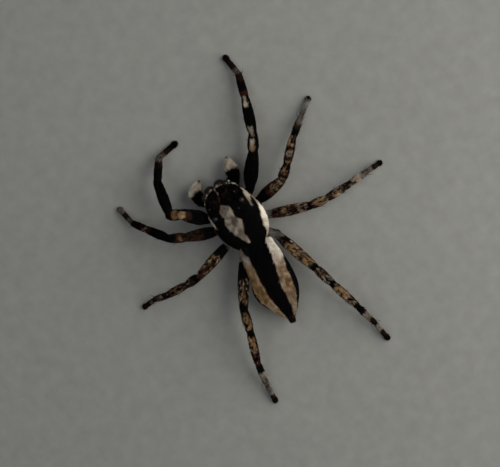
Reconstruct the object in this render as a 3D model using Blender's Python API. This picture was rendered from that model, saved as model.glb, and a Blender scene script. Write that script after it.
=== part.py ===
"""Jumping spider, adult male gray wall jumper, life size, standing on eight feet.

Units are metres, +Z is up and the head looks along -Y, so the spider's right is -X.
Every piece hangs from one empty, which centres the finished animal over the origin.
"""
import math

import bpy
import bmesh
from mathutils import Matrix, Vector

MM = 0.001

# ---- gaps and facets -------------------------------------------------------------------
GAP = 0.045 * MM            # thin cut between neighbouring pieces
LEG_SIDES = 10              # facets round a leg
BODY_SIDES = 24             # facets round carapace and abdomen
MOUTH_SIDES = 12            # facets round chelicerae, palps, stalk and spinnerets
EYE_SIDES = 14              # facets round an eye
EYE_BANDS = 4               # bands from an eye's rim to its crown

# ---- cephalothorax ---------------------------------------------------------------------
CARAPACE_MARGIN_Z = 1.03 * MM
CARAPACE_UNDERSIDE_DROP = 0.03 * MM
CARAPACE_RINGS = 15
# place along the body, half width, height of the back; in millimetres
CARAPACE_STATIONS = (
    (-0.05, 0.42, 1.17),
    (-0.15, 0.72, 1.27),
    (-0.50, 1.08, 1.43),
    (-1.00, 1.33, 1.60),
    (-1.55, 1.42, 1.71),
    (-2.20, 1.36, 1.77),
    (-2.80, 1.20, 1.77),
    (-3.30, 1.04, 1.72),
    (-3.60, 0.92, 1.66),
    (-3.72, 0.82, 1.60),
)
CARAPACE_SQUARENESS = 2.4   # 2 is an ellipse, more is flatter on top

STERNUM_CENTRE = Vector((0.0, -1.42, 0.0)) * MM
STERNUM_HALF_WIDTH = 0.40 * MM
STERNUM_HALF_LENGTH = 0.92 * MM
STERNUM_BOTTOM_Z = 0.44 * MM
STERNUM_TOP_Z = 0.95 * MM

MOUTH_BACK_Y = -2.42 * MM
MOUTH_FRONT_Y = -3.12 * MM
MOUTH_HALF_WIDTH = 0.30 * MM

PEDICEL_START = Vector((0.0, -0.44, 0.775)) * MM
PEDICEL_END = Vector((0.0, 0.015, 0.785)) * MM
PEDICEL_RADIUS = 0.175 * MM

# ---- abdomen ---------------------------------------------------------------------------
ABDOMEN_YAW = math.radians(12.7)      # the abdomen swings to the spider's left
ABDOMEN_RINGS = 15
# place along the abdomen, sideways bow, half width, height of the back, of the belly; in
# millimetres
ABDOMEN_STATIONS = (
    (0.09, 0.00, 0.42, 1.14, 0.60),
    (0.22, 0.00, 0.65, 1.32, 0.47),
    (0.58, -0.03, 0.90, 1.47, 0.36),
    (1.20, -0.03, 1.09, 1.55, 0.28),
    (1.90, 0.05, 1.25, 1.56, 0.25),
    (2.55, 0.07, 1.25, 1.50, 0.27),
    (3.10, 0.04, 1.05, 1.37, 0.32),
    (3.60, 0.00, 0.72, 1.18, 0.39),
    (3.95, 0.00, 0.47, 1.02, 0.45),
    (4.15, 0.00, 0.29, 0.88, 0.52),
)
ABDOMEN_SQUARENESS = 2.15
SPINNERET_START = 4.23 * MM
SPINNERET_END = 4.48 * MM
SPINNERET_HEIGHTS = (0.69 * MM, 0.60 * MM)
SPINNERET_RADII = (0.20 * MM, 0.12 * MM)

# ---- eyes: place, radius and how far the lens bulges -------------------------------------
AME_RADIUS = 0.295 * MM
AME_BULGE = 0.27 * MM
AME_X = 0.31 * MM
AME_Z = 1.27 * MM
# row name, place along the body, angle round the section in degrees, radius, bulge
SIDE_EYES = (
    ("anterior_lateral", -3.60, 47.0, 0.165, 0.15),
    ("posterior_median", -2.98, 49.0, 0.060, 0.05),
    ("posterior_lateral", -2.40, 52.0, 0.150, 0.13),
)

# ---- chelicerae and palps ----------------------------------------------------------------
CHELICERA_TOP = Vector((0.29, -3.42, 0.88)) * MM
CHELICERA_BOTTOM = Vector((0.27, -3.62, 0.30)) * MM
CHELICERA_RADII = (0.25, 0.26, 0.22, 0.12)
PALP_PATHS = {
    "right": (
        ((0.72, -3.30, 0.74), (1.10, -3.62, 0.78), (1.22, -4.12, 0.70)),
        ((1.22, -4.12, 0.70), (1.27, -4.66, 0.42)),
    ),
    "left": (
        ((0.72, -3.30, 0.74), (1.10, -3.70, 0.78), (1.18, -4.22, 0.66)),
        ((1.18, -4.22, 0.66), (0.68, -4.56, 0.42)),
    ),
}
PALP_BASE_RADII = (0.21, 0.23, 0.24)
PALP_TIP_RADII = (0.24, 0.26, 0.12)

# ---- legs --------------------------------------------------------------------------------
HIP_Z = 0.70 * MM
FOOT_Z = 0.16 * MM          # height of a foot's axis at its tip; the sole is cut flat at 0
SEGMENTS = ("femur", "patella", "tibia", "metatarsus", "tarsus")
# inner end of each coxa and each hip on the left side, in millimetres
COXA_ROOTS = {1: (0.50, -2.27), 2: (0.64, -1.72), 3: (0.64, -1.12), 4: (0.50, -0.57)}
HIPS = {1: (1.36, -2.62), 2: (1.37, -1.86), 3: (1.30, -1.00), 4: (1.10, 0.08)}
LEG_LENGTHS = {
    1: (1.92, 0.95, 1.90, 1.45, 1.08),
    2: (1.67, 0.95, 1.50, 1.25, 0.97),
    3: (2.35, 0.90, 1.45, 1.20, 0.75),
    4: (2.70, 1.20, 1.80, 1.35, 1.04),
}
# greatest radius of each segment
LEG_RADII = {
    1: (0.37, 0.30, 0.29, 0.25, 0.235),
    2: (0.32, 0.27, 0.26, 0.24, 0.235),
    3: (0.28, 0.25, 0.25, 0.24, 0.235),
    4: (0.30, 0.27, 0.26, 0.24, 0.235),
}
# radius of the joint at the far end of femur, patella, tibia and metatarsus
JOINT_RADII = (0.245, 0.245, 0.240, 0.235)
COXA_RADIUS = 0.245
TARSUS_TIP_RADIUS = 0.10
# swing of each segment, in degrees out from straight ahead, and its pitch above level;
# a tarsus has no pitch of its own, because it comes down to the floor
LEG_POSE = {
    (1, "right"): ((43.5, 4), (38.5, 5.5), (23, -9), (18.5, -12), (-6,)),
    (2, "right"): ((86, 5), (61, 24), (46, -21), (55, -17), (57,)),
    (3, "right"): ((114, 3), (104, 2), (94, -7), (91, -15), (92,)),
    (4, "right"): ((166.5, 3), (166, 11), (170, -7), (174, -21), (180,)),
    (1, "left"): ((33.5, 50), (64.5, -36), (-12, -15), (-32.5, -32), (-85,)),
    (2, "left"): ((63.5, 26), (57, 15), (37, -24), (39, -35), (10,)),
    (3, "left"): ((104, 28), (87, -12), (82, -20), (74, -42), (89,)),
    (4, "left"): ((146, 15), (159, -2), (152, -17), (160, -23), (168,)),
}
SIDES = {"right": -1, "left": 1}

# ---- finishes: colour, roughness, metallic -----------------------------------------------
FINISHES = {
    "black_coat": ((0.012, 0.010, 0.010, 1.0), 0.60, 0.0),
    "striped_coat": ((0.24, 0.17, 0.11, 1.0), 0.75, 0.0),
    "front_leg": ((0.018, 0.013, 0.012, 1.0), 0.55, 0.0),
    "mottled_leg": ((0.13, 0.08, 0.05, 1.0), 0.70, 0.0),
    "pale_palp": ((0.42, 0.36, 0.29, 1.0), 0.80, 0.0),
    "bare_shell": ((0.030, 0.015, 0.011, 1.0), 0.35, 0.0),
    "eye": ((0.006, 0.006, 0.007, 1.0), 0.06, 0.0),
}


def clear_scene():
    """Remove whatever the file starts with."""
    for old in list(bpy.data.objects):
        bpy.data.objects.remove(old)


def material(name, finish):
    """One Principled material in a named finish."""
    colour, roughness, metallic = FINISHES[finish]
    made = bpy.data.materials.new("%s_%s" % (name, finish))
    made.use_nodes = True
    made.diffuse_color = colour
    shader = made.node_tree.nodes["Principled BSDF"]
    shader.inputs["Base Color"].default_value = colour
    shader.inputs["Roughness"].default_value = roughness
    shader.inputs["Metallic"].default_value = metallic
    return made


def solid_from_rings(name, rings, place, finish, parent):
    """Join equal rings of world points into one closed, smooth-shaded body.

    place is the object's own matrix under its parent; the mesh is written in that frame.
    """
    inverse = place.inverted()
    bm = bmesh.new()
    loops = [[bm.verts.new(inverse @ point) for point in ring] for ring in rings]
    sides = len(rings[0])
    for lower, upper in zip(loops, loops[1:]):
        for i in range(sides):
            j = (i + 1) % sides
            bm.faces.new((lower[i], lower[j], upper[j], upper[i]))
    bm.faces.new(list(reversed(loops[0])))
    bm.faces.new(loops[-1])
    bmesh.ops.recalc_face_normals(bm, faces=bm.faces)
    mesh = bpy.data.meshes.new(name)
    bm.to_mesh(mesh)
    bm.free()
    mesh.materials.append(material(name, finish))
    mesh.shade_smooth()
    mesh.set_sharp_from_angle(angle=math.radians(50))
    made = bpy.data.objects.new(name, mesh)
    bpy.context.scene.collection.objects.link(made)
    made.matrix_basis = place
    made.parent = parent
    return made


def smooth_stations(stations, count):
    """Even readings of a Catmull-Rom curve through the stations, in metres."""
    points = [Vector(station) for station in stations]
    last = len(points) - 1
    readings = []
    for i in range(count):
        place = last * i / (count - 1)
        k = min(int(place), last - 1)
        t = place - k
        before = points[max(k - 1, 0)]
        start = points[k]
        end = points[k + 1]
        after = points[min(k + 2, last)]
        curve = 0.5 * (2 * start + (end - before) * t
                       + (2 * before - 5 * start + 4 * end - after) * t ** 2
                       + (3 * start - before - 3 * end + after) * t ** 3)
        readings.append(tuple(value * MM for value in curve))
    return readings


def section(half_width, top, middle, bottom, squareness, angle):
    """Point of a rounded section, seen from the front: angle 0 is +X, a quarter turn is up."""
    power = 2.0 / squareness
    c = math.cos(angle)
    s = math.sin(angle)
    reach = top - middle if s >= 0 else middle - bottom
    x = half_width * math.copysign(abs(c) ** power, c)
    z = middle + reach * math.copysign(abs(s) ** power, s)
    return x, z


# ---- cephalothorax -----------------------------------------------------------------------
def carapace_ring_point(y, half_width, top, angle):
    """Point of one cross-section of the carapace, at an angle round it."""
    x, z = section(half_width, top, CARAPACE_MARGIN_Z,
                   CARAPACE_MARGIN_Z - CARAPACE_UNDERSIDE_DROP, CARAPACE_SQUARENESS, angle)
    return Vector((x, y, z))


def carapace_point(y, angle):
    """Point of the carapace at a place along the body and an angle round it."""
    for near, far in zip(CARAPACE_STATIONS, CARAPACE_STATIONS[1:]):
        if far[0] * MM <= y:
            break
    t = (y / MM - near[0]) / (far[0] - near[0])
    half_width = (near[1] + (far[1] - near[1]) * t) * MM
    top = (near[2] + (far[2] - near[2]) * t) * MM
    return carapace_ring_point(y, half_width, top, angle)


def carapace_frame(y, angle):
    """Place and outward direction of the carapace's surface."""
    step_y = 0.08 * MM
    step_angle = math.radians(5)
    here = carapace_point(y, angle)
    along = carapace_point(y + step_y, angle) - carapace_point(y - step_y, angle)
    round_it = carapace_point(y, angle + step_angle) - carapace_point(y, angle - step_angle)
    normal = along.cross(round_it).normalized()
    if normal.z < 0:
        normal.negate()
    return here, normal


def add_carapace(parent):
    """The shield over the head and thorax, flat on its underside."""
    rings = []
    for y, half_width, top in smooth_stations(CARAPACE_STATIONS, CARAPACE_RINGS):
        rings.append([carapace_ring_point(y, half_width, top, 2 * math.pi * i / BODY_SIDES)
                      for i in range(BODY_SIDES)])
    place = Matrix.Translation((0.0, CARAPACE_STATIONS[4][0] * MM, CARAPACE_MARGIN_Z))
    solid_from_rings("carapace", rings, place, "black_coat", parent)


def oval(centre, half_width, half_length, z, sides):
    """A level oval ring."""
    ring = []
    for i in range(sides):
        angle = 2 * math.pi * i / sides
        ring.append(Vector((centre.x + half_width * math.cos(angle),
                            centre.y + half_length * math.sin(angle), z)))
    return ring


def add_sternum(parent):
    """The oval shield between the coxae."""
    heights = (STERNUM_BOTTOM_Z, STERNUM_BOTTOM_Z + 0.07 * MM, STERNUM_TOP_Z)
    scales = (0.72, 1.0, 1.0)
    rings = [oval(STERNUM_CENTRE, STERNUM_HALF_WIDTH * k, STERNUM_HALF_LENGTH * k, z,
                  MOUTH_SIDES * 2)
             for z, k in zip(heights, scales)]
    place = Matrix.Translation((STERNUM_CENTRE.x, STERNUM_CENTRE.y, STERNUM_BOTTOM_Z))
    solid_from_rings("sternum", rings, place, "bare_shell", parent)


def add_mouthparts(parent):
    """The lip and the two jaw plates, between the sternum and the chelicerae."""
    centre = Vector((0.0, 0.5 * (MOUTH_BACK_Y + MOUTH_FRONT_Y), 0.0))
    half_length = 0.5 * abs(MOUTH_FRONT_Y - MOUTH_BACK_Y)
    heights = (STERNUM_BOTTOM_Z, STERNUM_BOTTOM_Z + 0.08 * MM, STERNUM_TOP_Z)
    scales = (0.70, 1.0, 1.0)
    rings = [oval(centre, MOUTH_HALF_WIDTH * k, half_length * k, z, MOUTH_SIDES)
             for z, k in zip(heights, scales)]
    place = Matrix.Translation((0.0, centre.y, STERNUM_BOTTOM_Z))
    solid_from_rings("mouthparts", rings, place, "bare_shell", parent)


# ---- tubes -------------------------------------------------------------------------------
def across(direction):
    """Level and upright directions square to a stretch."""
    level = Vector((0, 0, 1)).cross(direction).normalized()
    upright = direction.cross(level).normalized()
    return level, upright


def tube_rings(path, radii, sides, start_normal=None, end_normal=None, tall=1.0):
    """Rings of a bent tube, mitred at its bends and, where asked, at its two ends.

    radii holds, for each straight stretch, pairs of place (0 to 1) and radius. A start or
    end normal is the direction of the cut there, which then stands half a gap back.
    """
    stretches = [(b - a).normalized() for a, b in zip(path, path[1:])]
    cuts = [start_normal or stretches[0]]
    cuts += [(a + b).normalized() for a, b in zip(stretches, stretches[1:])]
    cuts.append(end_normal or stretches[-1])
    setbacks = [GAP / 2 if start_normal else 0.0]
    setbacks += [0.0] * (len(stretches) - 1)
    setbacks.append(-GAP / 2 if end_normal else 0.0)
    rings = []
    for k, direction in enumerate(stretches):
        level, upright = across(direction)
        start, end = path[k], path[k + 1]
        for t, radius in radii[k]:
            if k > 0 and t == 0:
                continue
            ring = []
            for i in range(sides):
                angle = 2 * math.pi * i / sides
                rim = radius * (math.cos(angle) * level + tall * math.sin(angle) * upright)
                near = cut_distance(rim, direction, cuts[k], setbacks[k])
                far = cut_distance(rim, direction, cuts[k + 1], setbacks[k + 1])
                foot = start.lerp(end, t) + direction * (near * (1 - t) + far * t)
                ring.append(foot + rim)
            rings.append(ring)
    return rings


def cut_distance(rim, direction, normal, setback):
    """How far along a stretch its surface line at this rim point meets a cut."""
    return (setback - normal.dot(rim)) / normal.dot(direction)


def frame_along(start, direction):
    """Matrix with its origin at start and +X along direction, kept upright."""
    level, upright = across(direction)
    turn = Matrix((direction, level, upright)).transposed().to_4x4()
    return Matrix.Translation(start) @ turn


def scaled(pairs):
    """Place and radius pairs with the radius in metres."""
    return [(place, radius * MM) for place, radius in pairs]


# ---- stalk, spinnerets, chelicerae, palps --------------------------------------------------
def add_pedicel(parent):
    """The narrow stalk between cephalothorax and abdomen."""
    path = (PEDICEL_START, PEDICEL_END)
    radii = [[(0, PEDICEL_RADIUS), (0.5, PEDICEL_RADIUS * 0.85), (1, PEDICEL_RADIUS)]]
    rings = tube_rings(path, radii, MOUTH_SIDES)
    place = frame_along(PEDICEL_START, (PEDICEL_END - PEDICEL_START).normalized())
    solid_from_rings("pedicel", rings, place, "bare_shell", parent)


def add_abdomen(parent):
    """The long, low abdomen, swung to the left at the stalk."""
    swing = Matrix.Rotation(-ABDOMEN_YAW, 4, "Z")
    rings = []
    for along, bow, half_width, top, bottom in smooth_stations(ABDOMEN_STATIONS,
                                                               ABDOMEN_RINGS):
        middle = 0.5 * (top + bottom)
        ring = []
        for i in range(BODY_SIDES):
            angle = 2 * math.pi * i / BODY_SIDES
            x, z = section(half_width, top, middle, bottom, ABDOMEN_SQUARENESS, angle)
            ring.append(swing @ Vector((x + bow, along, z)))
        rings.append(ring)
    solid_from_rings("abdomen", rings, swing, "striped_coat", parent)


def add_spinnerets(parent):
    """The bundle of spinnerets at the end of the abdomen."""
    swing = Matrix.Rotation(-ABDOMEN_YAW, 4, "Z")
    start = swing @ Vector((0.0, SPINNERET_START, SPINNERET_HEIGHTS[0]))
    end = swing @ Vector((0.0, SPINNERET_END, SPINNERET_HEIGHTS[1]))
    wide, narrow = SPINNERET_RADII
    radii = [[(0, wide), (0.6, 0.5 * (wide + narrow)), (1, narrow)]]
    rings = tube_rings((start, end), radii, MOUTH_SIDES)
    solid_from_rings("spinnerets", rings, frame_along(start, (end - start).normalized()),
                     "black_coat", parent)


def add_chelicera(side, parent):
    """One stout jaw below the face."""
    mirror = Vector((SIDES[side], 1, 1))
    top = CHELICERA_TOP * mirror
    bottom = CHELICERA_BOTTOM * mirror
    radii = [[(i / 3, radius * MM) for i, radius in enumerate(CHELICERA_RADII)]]
    rings = tube_rings((top, bottom), radii, MOUTH_SIDES)
    solid_from_rings("chelicera_" + side, rings,
                     frame_along(top, (bottom - top).normalized()), "bare_shell", parent)


def add_palp(side, parent):
    """One palp: the segmented stem, then the swollen last segment."""
    mirror = Vector((SIDES[side], 1, 1))
    base_path, tip_path = (
        [Vector(point) * mirror * MM for point in path] for path in PALP_PATHS[side])
    base_end = (base_path[-1] - base_path[-2]).normalized()
    tip_start = (tip_path[1] - tip_path[0]).normalized()
    cut = (base_end + tip_start).normalized()
    first, second, third = PALP_BASE_RADII
    radii = [scaled(((0, first), (0.5, second), (1, second))),
             scaled(((0, second), (0.5, second * 1.08), (1, third)))]
    rings = tube_rings(base_path, radii, MOUTH_SIDES, end_normal=cut)
    start = base_path[0]
    solid_from_rings("palp_%s_stem" % side, rings,
                     frame_along(start, (base_path[1] - start).normalized()),
                     "front_leg", parent)
    first, second, third = PALP_TIP_RADII
    radii = [scaled(((0, first), (0.3, second), (0.7, second * 0.9), (1, third)))]
    rings = tube_rings(tip_path, radii, MOUTH_SIDES, start_normal=cut)
    solid_from_rings("palp_%s_tip" % side, rings, frame_along(tip_path[0], tip_start),
                     "pale_palp", parent)


# ---- eyes --------------------------------------------------------------------------------
def add_eye(name, centre, normal, radius, bulge, parent):
    """A domed lens with a flat back, standing just clear of the head."""
    tangent = Vector((0, 0, 1)).cross(normal).normalized()
    other = normal.cross(tangent)
    back = centre + normal * GAP
    rings = []
    for k in range(EYE_BANDS + 1):
        turn = 0.5 * math.pi * k / (EYE_BANDS + 0.45)
        reach = radius * math.cos(turn)
        rise = bulge * math.sin(turn)
        rings.append([back + normal * rise
                      + reach * (math.cos(a) * tangent + math.sin(a) * other)
                      for a in (2 * math.pi * i / EYE_SIDES for i in range(EYE_SIDES))])
    turn = Matrix((normal, tangent, other)).transposed().to_4x4()
    solid_from_rings(name, rings, Matrix.Translation(back) @ turn, "eye", parent)


def add_eyes(parent):
    """Eight eyes: two large ones on the face and three pairs down the sides of the head."""
    face_y = CARAPACE_STATIONS[-1][0] * MM
    for side, sign in SIDES.items():
        add_eye("eye_anterior_median_" + side, Vector((sign * AME_X, face_y, AME_Z)),
                Vector((0, -1, 0)), AME_RADIUS, AME_BULGE, parent)
        for row, y, angle, radius, bulge in SIDE_EYES:
            turn = math.radians(angle if side == "left" else 180 - angle)
            centre, normal = carapace_frame(y * MM, turn)
            add_eye("eye_%s_%s" % (row, side), centre, normal, radius * MM, bulge * MM,
                    parent)


# ---- legs --------------------------------------------------------------------------------
def leg_direction(side, swing, pitch):
    """Unit direction of a segment from its swing and pitch, in degrees."""
    swing = math.radians(swing)
    pitch = math.radians(pitch)
    return Vector((SIDES[side] * math.sin(swing) * math.cos(pitch),
                   -math.cos(swing) * math.cos(pitch), math.sin(pitch)))


def leg_joints(pair, side):
    """The joints of one leg, from the hip to the tip of the foot."""
    x, y = HIPS[pair]
    joints = [Vector((SIDES[side] * x * MM, y * MM, HIP_Z))]
    for length, pose in zip(LEG_LENGTHS[pair], LEG_POSE[(pair, side)]):
        length *= MM
        if len(pose) == 2:
            pitch = pose[1]
        else:
            pitch = math.degrees(math.asin((FOOT_Z - joints[-1].z) / length))
        joints.append(joints[-1] + length * leg_direction(side, pose[0], pitch))
    return joints


def segment_profile(pair, index):
    """Place and radius pairs along one segment, narrow at its joints."""
    widest = LEG_RADII[pair][index]
    start = JOINT_RADII[max(index - 1, 0)]
    if index == len(SEGMENTS) - 1:
        return scaled(((0, start), (0.40, widest), (0.75, widest), (0.93, widest * 0.8),
                       (1, TARSUS_TIP_RADIUS)))
    end = JOINT_RADII[index]
    if index == 0:
        return scaled(((0, COXA_RADIUS), (0.18, 0.5 * (COXA_RADIUS + widest)),
                       (0.42, widest), (0.75, 0.5 * (widest + end) + 0.02), (1, end)))
    return scaled(((0, start), (0.25, 0.5 * (start + widest) + 0.01), (0.62, widest),
                   (0.9, 0.5 * (widest + end)), (1, end)))


def flat_on_floor(rings):
    """Cut whatever would reach below the floor flat at floor level."""
    for ring in rings:
        for point in ring:
            point.z = max(point.z, 0.0)


def add_leg(pair, side, parent):
    """One leg: coxa with femur, patella, tibia, metatarsus and tarsus."""
    joints = leg_joints(pair, side)
    stretches = [(b - a).normalized() for a, b in zip(joints, joints[1:])]
    cuts = [(a + b).normalized() for a, b in zip(stretches, stretches[1:])]
    finish = "front_leg" if pair == 1 else "mottled_leg"
    x, y = COXA_ROOTS[pair]
    root = Vector((SIDES[side] * x * MM, y * MM, HIP_Z))
    for index, segment in enumerate(SEGMENTS):
        path = [joints[index], joints[index + 1]]
        profiles = [segment_profile(pair, index)]
        start_cut = cuts[index - 1] if index > 0 else None
        end_cut = cuts[index] if index < len(cuts) else None
        if segment == "femur":
            path.insert(0, root)
            profiles.insert(0, scaled(((0, COXA_RADIUS * 0.95), (0.6, COXA_RADIUS),
                                       (1, COXA_RADIUS))))
        rings = tube_rings(path, profiles, LEG_SIDES, start_cut, end_cut)
        if segment == "tarsus":
            flat_on_floor(rings)
        place = frame_along(path[0], (path[1] - path[0]).normalized())
        solid_from_rings("leg_%d_%s_%s" % (pair, side, segment), rings, place, finish,
                         parent)


# ---- whole animal ------------------------------------------------------------------------
def centre_over_origin(parent):
    """Move the parent empty so that the box round all the solids stands on the origin."""
    bpy.context.view_layer.update()
    corners = [made.matrix_world @ vertex.co
               for made in bpy.context.scene.objects if made.type == "MESH"
               for vertex in made.data.vertices]
    low = Vector(min(corner[axis] for corner in corners) for axis in range(3))
    high = Vector(max(corner[axis] for corner in corners) for axis in range(3))
    parent.location = (-0.5 * (low.x + high.x), -0.5 * (low.y + high.y), -low.z)


def main():
    clear_scene()
    spider = bpy.data.objects.new("spider", None)
    bpy.context.scene.collection.objects.link(spider)
    add_carapace(spider)
    add_sternum(spider)
    add_mouthparts(spider)
    add_pedicel(spider)
    add_abdomen(spider)
    add_spinnerets(spider)
    add_eyes(spider)
    for side in SIDES:
        add_chelicera(side, spider)
        add_palp(side, spider)
        for pair in HIPS:
            add_leg(pair, side, spider)
    centre_over_origin(spider)


if __name__ == "__main__":
    main()
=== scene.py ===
"""Looks of the jumping spider: skin, coat, lenses, bristles, claws, fangs and the stage.

Shapes are worked out in millimetres from the middle of the waist, x to the spider's
left, y towards its tail, z up from the floor.
"""
import json
import math

import bpy
import numpy as np
from bpy.props import FloatProperty, FloatVectorProperty, IntProperty, PointerProperty
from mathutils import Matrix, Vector, kdtree, noise


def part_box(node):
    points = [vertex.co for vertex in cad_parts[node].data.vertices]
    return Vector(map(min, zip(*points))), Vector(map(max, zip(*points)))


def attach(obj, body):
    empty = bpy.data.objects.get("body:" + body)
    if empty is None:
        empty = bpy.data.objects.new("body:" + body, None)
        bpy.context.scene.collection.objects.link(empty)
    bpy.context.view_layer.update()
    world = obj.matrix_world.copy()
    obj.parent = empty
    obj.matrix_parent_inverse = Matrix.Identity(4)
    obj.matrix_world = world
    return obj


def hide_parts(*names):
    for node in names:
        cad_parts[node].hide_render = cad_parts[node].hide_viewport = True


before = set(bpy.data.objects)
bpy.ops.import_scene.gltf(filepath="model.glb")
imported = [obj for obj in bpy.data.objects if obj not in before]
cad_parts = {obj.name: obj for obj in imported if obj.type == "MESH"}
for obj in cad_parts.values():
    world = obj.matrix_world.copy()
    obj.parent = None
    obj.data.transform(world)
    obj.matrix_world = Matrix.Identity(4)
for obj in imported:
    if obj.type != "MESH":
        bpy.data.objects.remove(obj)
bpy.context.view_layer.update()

bl_info = {
    "name": "Jumping spider",
    "version": (1, 0, 0),
    "blender": (4, 5, 0),
    "location": "3D View > Sidebar > Spider",
    "description": "Dresses the jumping spider's solids in skin, coat, lenses and bristles",
    "category": "Object",
}

MM = 0.001
GAP = 0.045                  # cut between neighbouring solids, in millimetres
SIDES = {"right": -1, "left": 1}
SEGMENTS = ("femur", "patella", "tibia", "metatarsus", "tarsus")
EYE_ROWS = ("anterior_median", "anterior_lateral", "posterior_median", "posterior_lateral")
MARK_NAMES = ("pale", "warm", "dark", "rust")


# ---- reading the solids ------------------------------------------------------------------
def node_points(name):
    """A solid's corners, once each, in millimetres."""
    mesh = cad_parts[name].data
    points = np.empty(len(mesh.vertices) * 3)
    mesh.vertices.foreach_get("co", points)
    return np.unique(np.round(points.reshape(-1, 3) / MM, 4), axis=0)


def joint_between(near, far):
    """Middle of the cut where two neighbouring solids face one another."""
    a = node_points(near)
    b = node_points(far)
    apart = np.linalg.norm(a[:, None] - b[None], axis=2)
    rim_a = a[apart.min(axis=1) < 2.2 * GAP]
    rim_b = b[apart.min(axis=0) < 2.2 * GAP]
    if min(len(rim_a), len(rim_b)) < 4:
        raise RuntimeError("no joint found between %s and %s" % (near, far))
    return 0.5 * (rim_a.mean(axis=0) + rim_b.mean(axis=0)) - ORIGIN


def far_end(name, start):
    """Middle of a solid's end furthest from a start point."""
    points = node_points(name) - ORIGIN
    axis = points.mean(axis=0) - start
    axis /= np.linalg.norm(axis)
    reach = (points - start) @ axis
    return points[reach > reach.max() - 0.03].mean(axis=0)


def leg_joints(pair, side):
    """Coxa root, hip, four joints and the foot's tip of one leg."""
    names = ["leg_%d_%s_%s" % (pair, side, segment) for segment in SEGMENTS]
    joints = [on_side(COXA_ROOTS[pair], side), on_side(HIPS[pair], side)]
    for near, far in zip(names, names[1:]):
        joints.append(joint_between(near, far))
    tip = far_end(names[-1], joints[-1])
    tip[2] = FOOT_AXIS_Z
    joints.append(tip)
    return joints


# ---- body sizes, in millimetres ----------------------------------------------------------
COXA_ROOTS = {1: (0.50, -2.27, 0.70), 2: (0.64, -1.72, 0.70), 3: (0.64, -1.12, 0.70),
              4: (0.50, -0.57, 0.70)}
HIPS = {1: (1.36, -2.62, 0.70), 2: (1.37, -1.86, 0.70), 3: (1.30, -1.00, 0.70),
        4: (1.10, 0.08, 0.70)}
FOOT_AXIS_Z = 0.085
LOWEST_SKIN = 0.004                                 # skin and hair stay this far off the floor
LOWEST_HAIR = 0.002
MARGIN_Z = 1.03
CARAPACE_SQUARENESS = 2.4
# place along the body, half width, height of the back
CARAPACE = ((-0.05, 0.42, 1.17), (-0.15, 0.72, 1.27), (-0.50, 1.08, 1.43), (-1.00, 1.33, 1.60),
            (-1.55, 1.42, 1.71), (-2.20, 1.36, 1.77), (-2.80, 1.20, 1.77),
            (-3.30, 1.04, 1.72), (-3.60, 0.92, 1.66), (-3.72, 0.82, 1.60))
ABDOMEN_YAW = math.radians(12.7)
ABDOMEN_SQUARENESS = 2.15
# place along the abdomen, sideways bow, half width, height of the back, of the belly
ABDOMEN = ((0.09, 0.00, 0.42, 1.14, 0.60), (0.22, 0.00, 0.65, 1.32, 0.47),
           (0.58, -0.03, 0.90, 1.47, 0.36), (1.20, -0.03, 1.09, 1.55, 0.28),
           (1.90, 0.05, 1.25, 1.56, 0.25), (2.55, 0.07, 1.25, 1.50, 0.27),
           (3.10, 0.04, 1.05, 1.37, 0.32), (3.60, 0.00, 0.72, 1.18, 0.39),
           (3.95, 0.00, 0.47, 1.02, 0.45), (4.15, 0.00, 0.29, 0.88, 0.52))
# ends, in the abdomen's own places, and radii of its hairy front corners, right and left
SHOULDERS = (((-0.58, 0.02, 1.06), (-0.87, 1.50, 0.96), (0.22, 0.25, 0.20)),
             ((0.74, -0.08, 1.08), (0.86, 1.35, 1.02), (0.24, 0.27, 0.24)))
# radius of the skin at base, widest part and end of each segment, coxa first
LEG_SKIN = {
    1: ((0.20, 0.22, 0.20), (0.19, 0.350, 0.23), (0.20, 0.270, 0.21), (0.18, 0.260, 0.19),
        (0.17, 0.200, 0.15), (0.13, 0.150, 0.115)),
    2: ((0.20, 0.22, 0.20), (0.18, 0.295, 0.20), (0.18, 0.235, 0.18), (0.16, 0.215, 0.16),
        (0.14, 0.175, 0.13), (0.11, 0.135, 0.105)),
    3: ((0.20, 0.21, 0.19), (0.17, 0.260, 0.18), (0.16, 0.215, 0.16), (0.15, 0.195, 0.14),
        (0.13, 0.160, 0.12), (0.11, 0.130, 0.100)),
    4: ((0.20, 0.22, 0.20), (0.18, 0.275, 0.19), (0.17, 0.225, 0.17), (0.16, 0.205, 0.15),
        (0.13, 0.165, 0.12), (0.11, 0.135, 0.100)),
}
LEG_TALL = (1.0, 1.12, 1.04, 1.04, 1.0, 1.0)        # height over width of each segment
LEG_BOW = (0.0, 0.05, 0.02, 0.015, 0.02, 0.02)      # how far each segment bows upward
PALP_ROOT = (0.42, -3.02, 0.70)
PALP_KNEE = (1.10, -3.66, 0.77)
PALP_SKIN = ((0.15, 0.200, 0.18), (0.17, 0.215, 0.18), (0.17, 0.205, 0.18),
             (0.18, 0.185, 0.05))
CHELICERA = ((0.28, -3.36, 1.02), (0.265, -3.60, 0.36))
CHELICERA_SKIN = (0.215, 0.245, 0.15)
BROW = (0.43, -3.23)                                # middle of the bulge over a front lens
# sideways place, place along the body, height and width of the bulges over the eyes
EYE_BULGES = ((*BROW, 0.055, 0.19), (0.86, -2.40, 0.030, 0.26), (0.80, -2.98, 0.025, 0.14))
FOVEA_Y = -1.78                                     # the short groove on the shield's back
HEAD_MIDDLE = (0.0, -2.4, 1.2)                      # the lenses look away from here
# place along the body, half width and height of the face behind the front lenses
FACE = ((-2.6, 0.75, 1.5), (-3.2, 0.86, 1.5), (-3.52, 0.82, 1.46), (-3.64, 0.74, 1.40))
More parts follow.
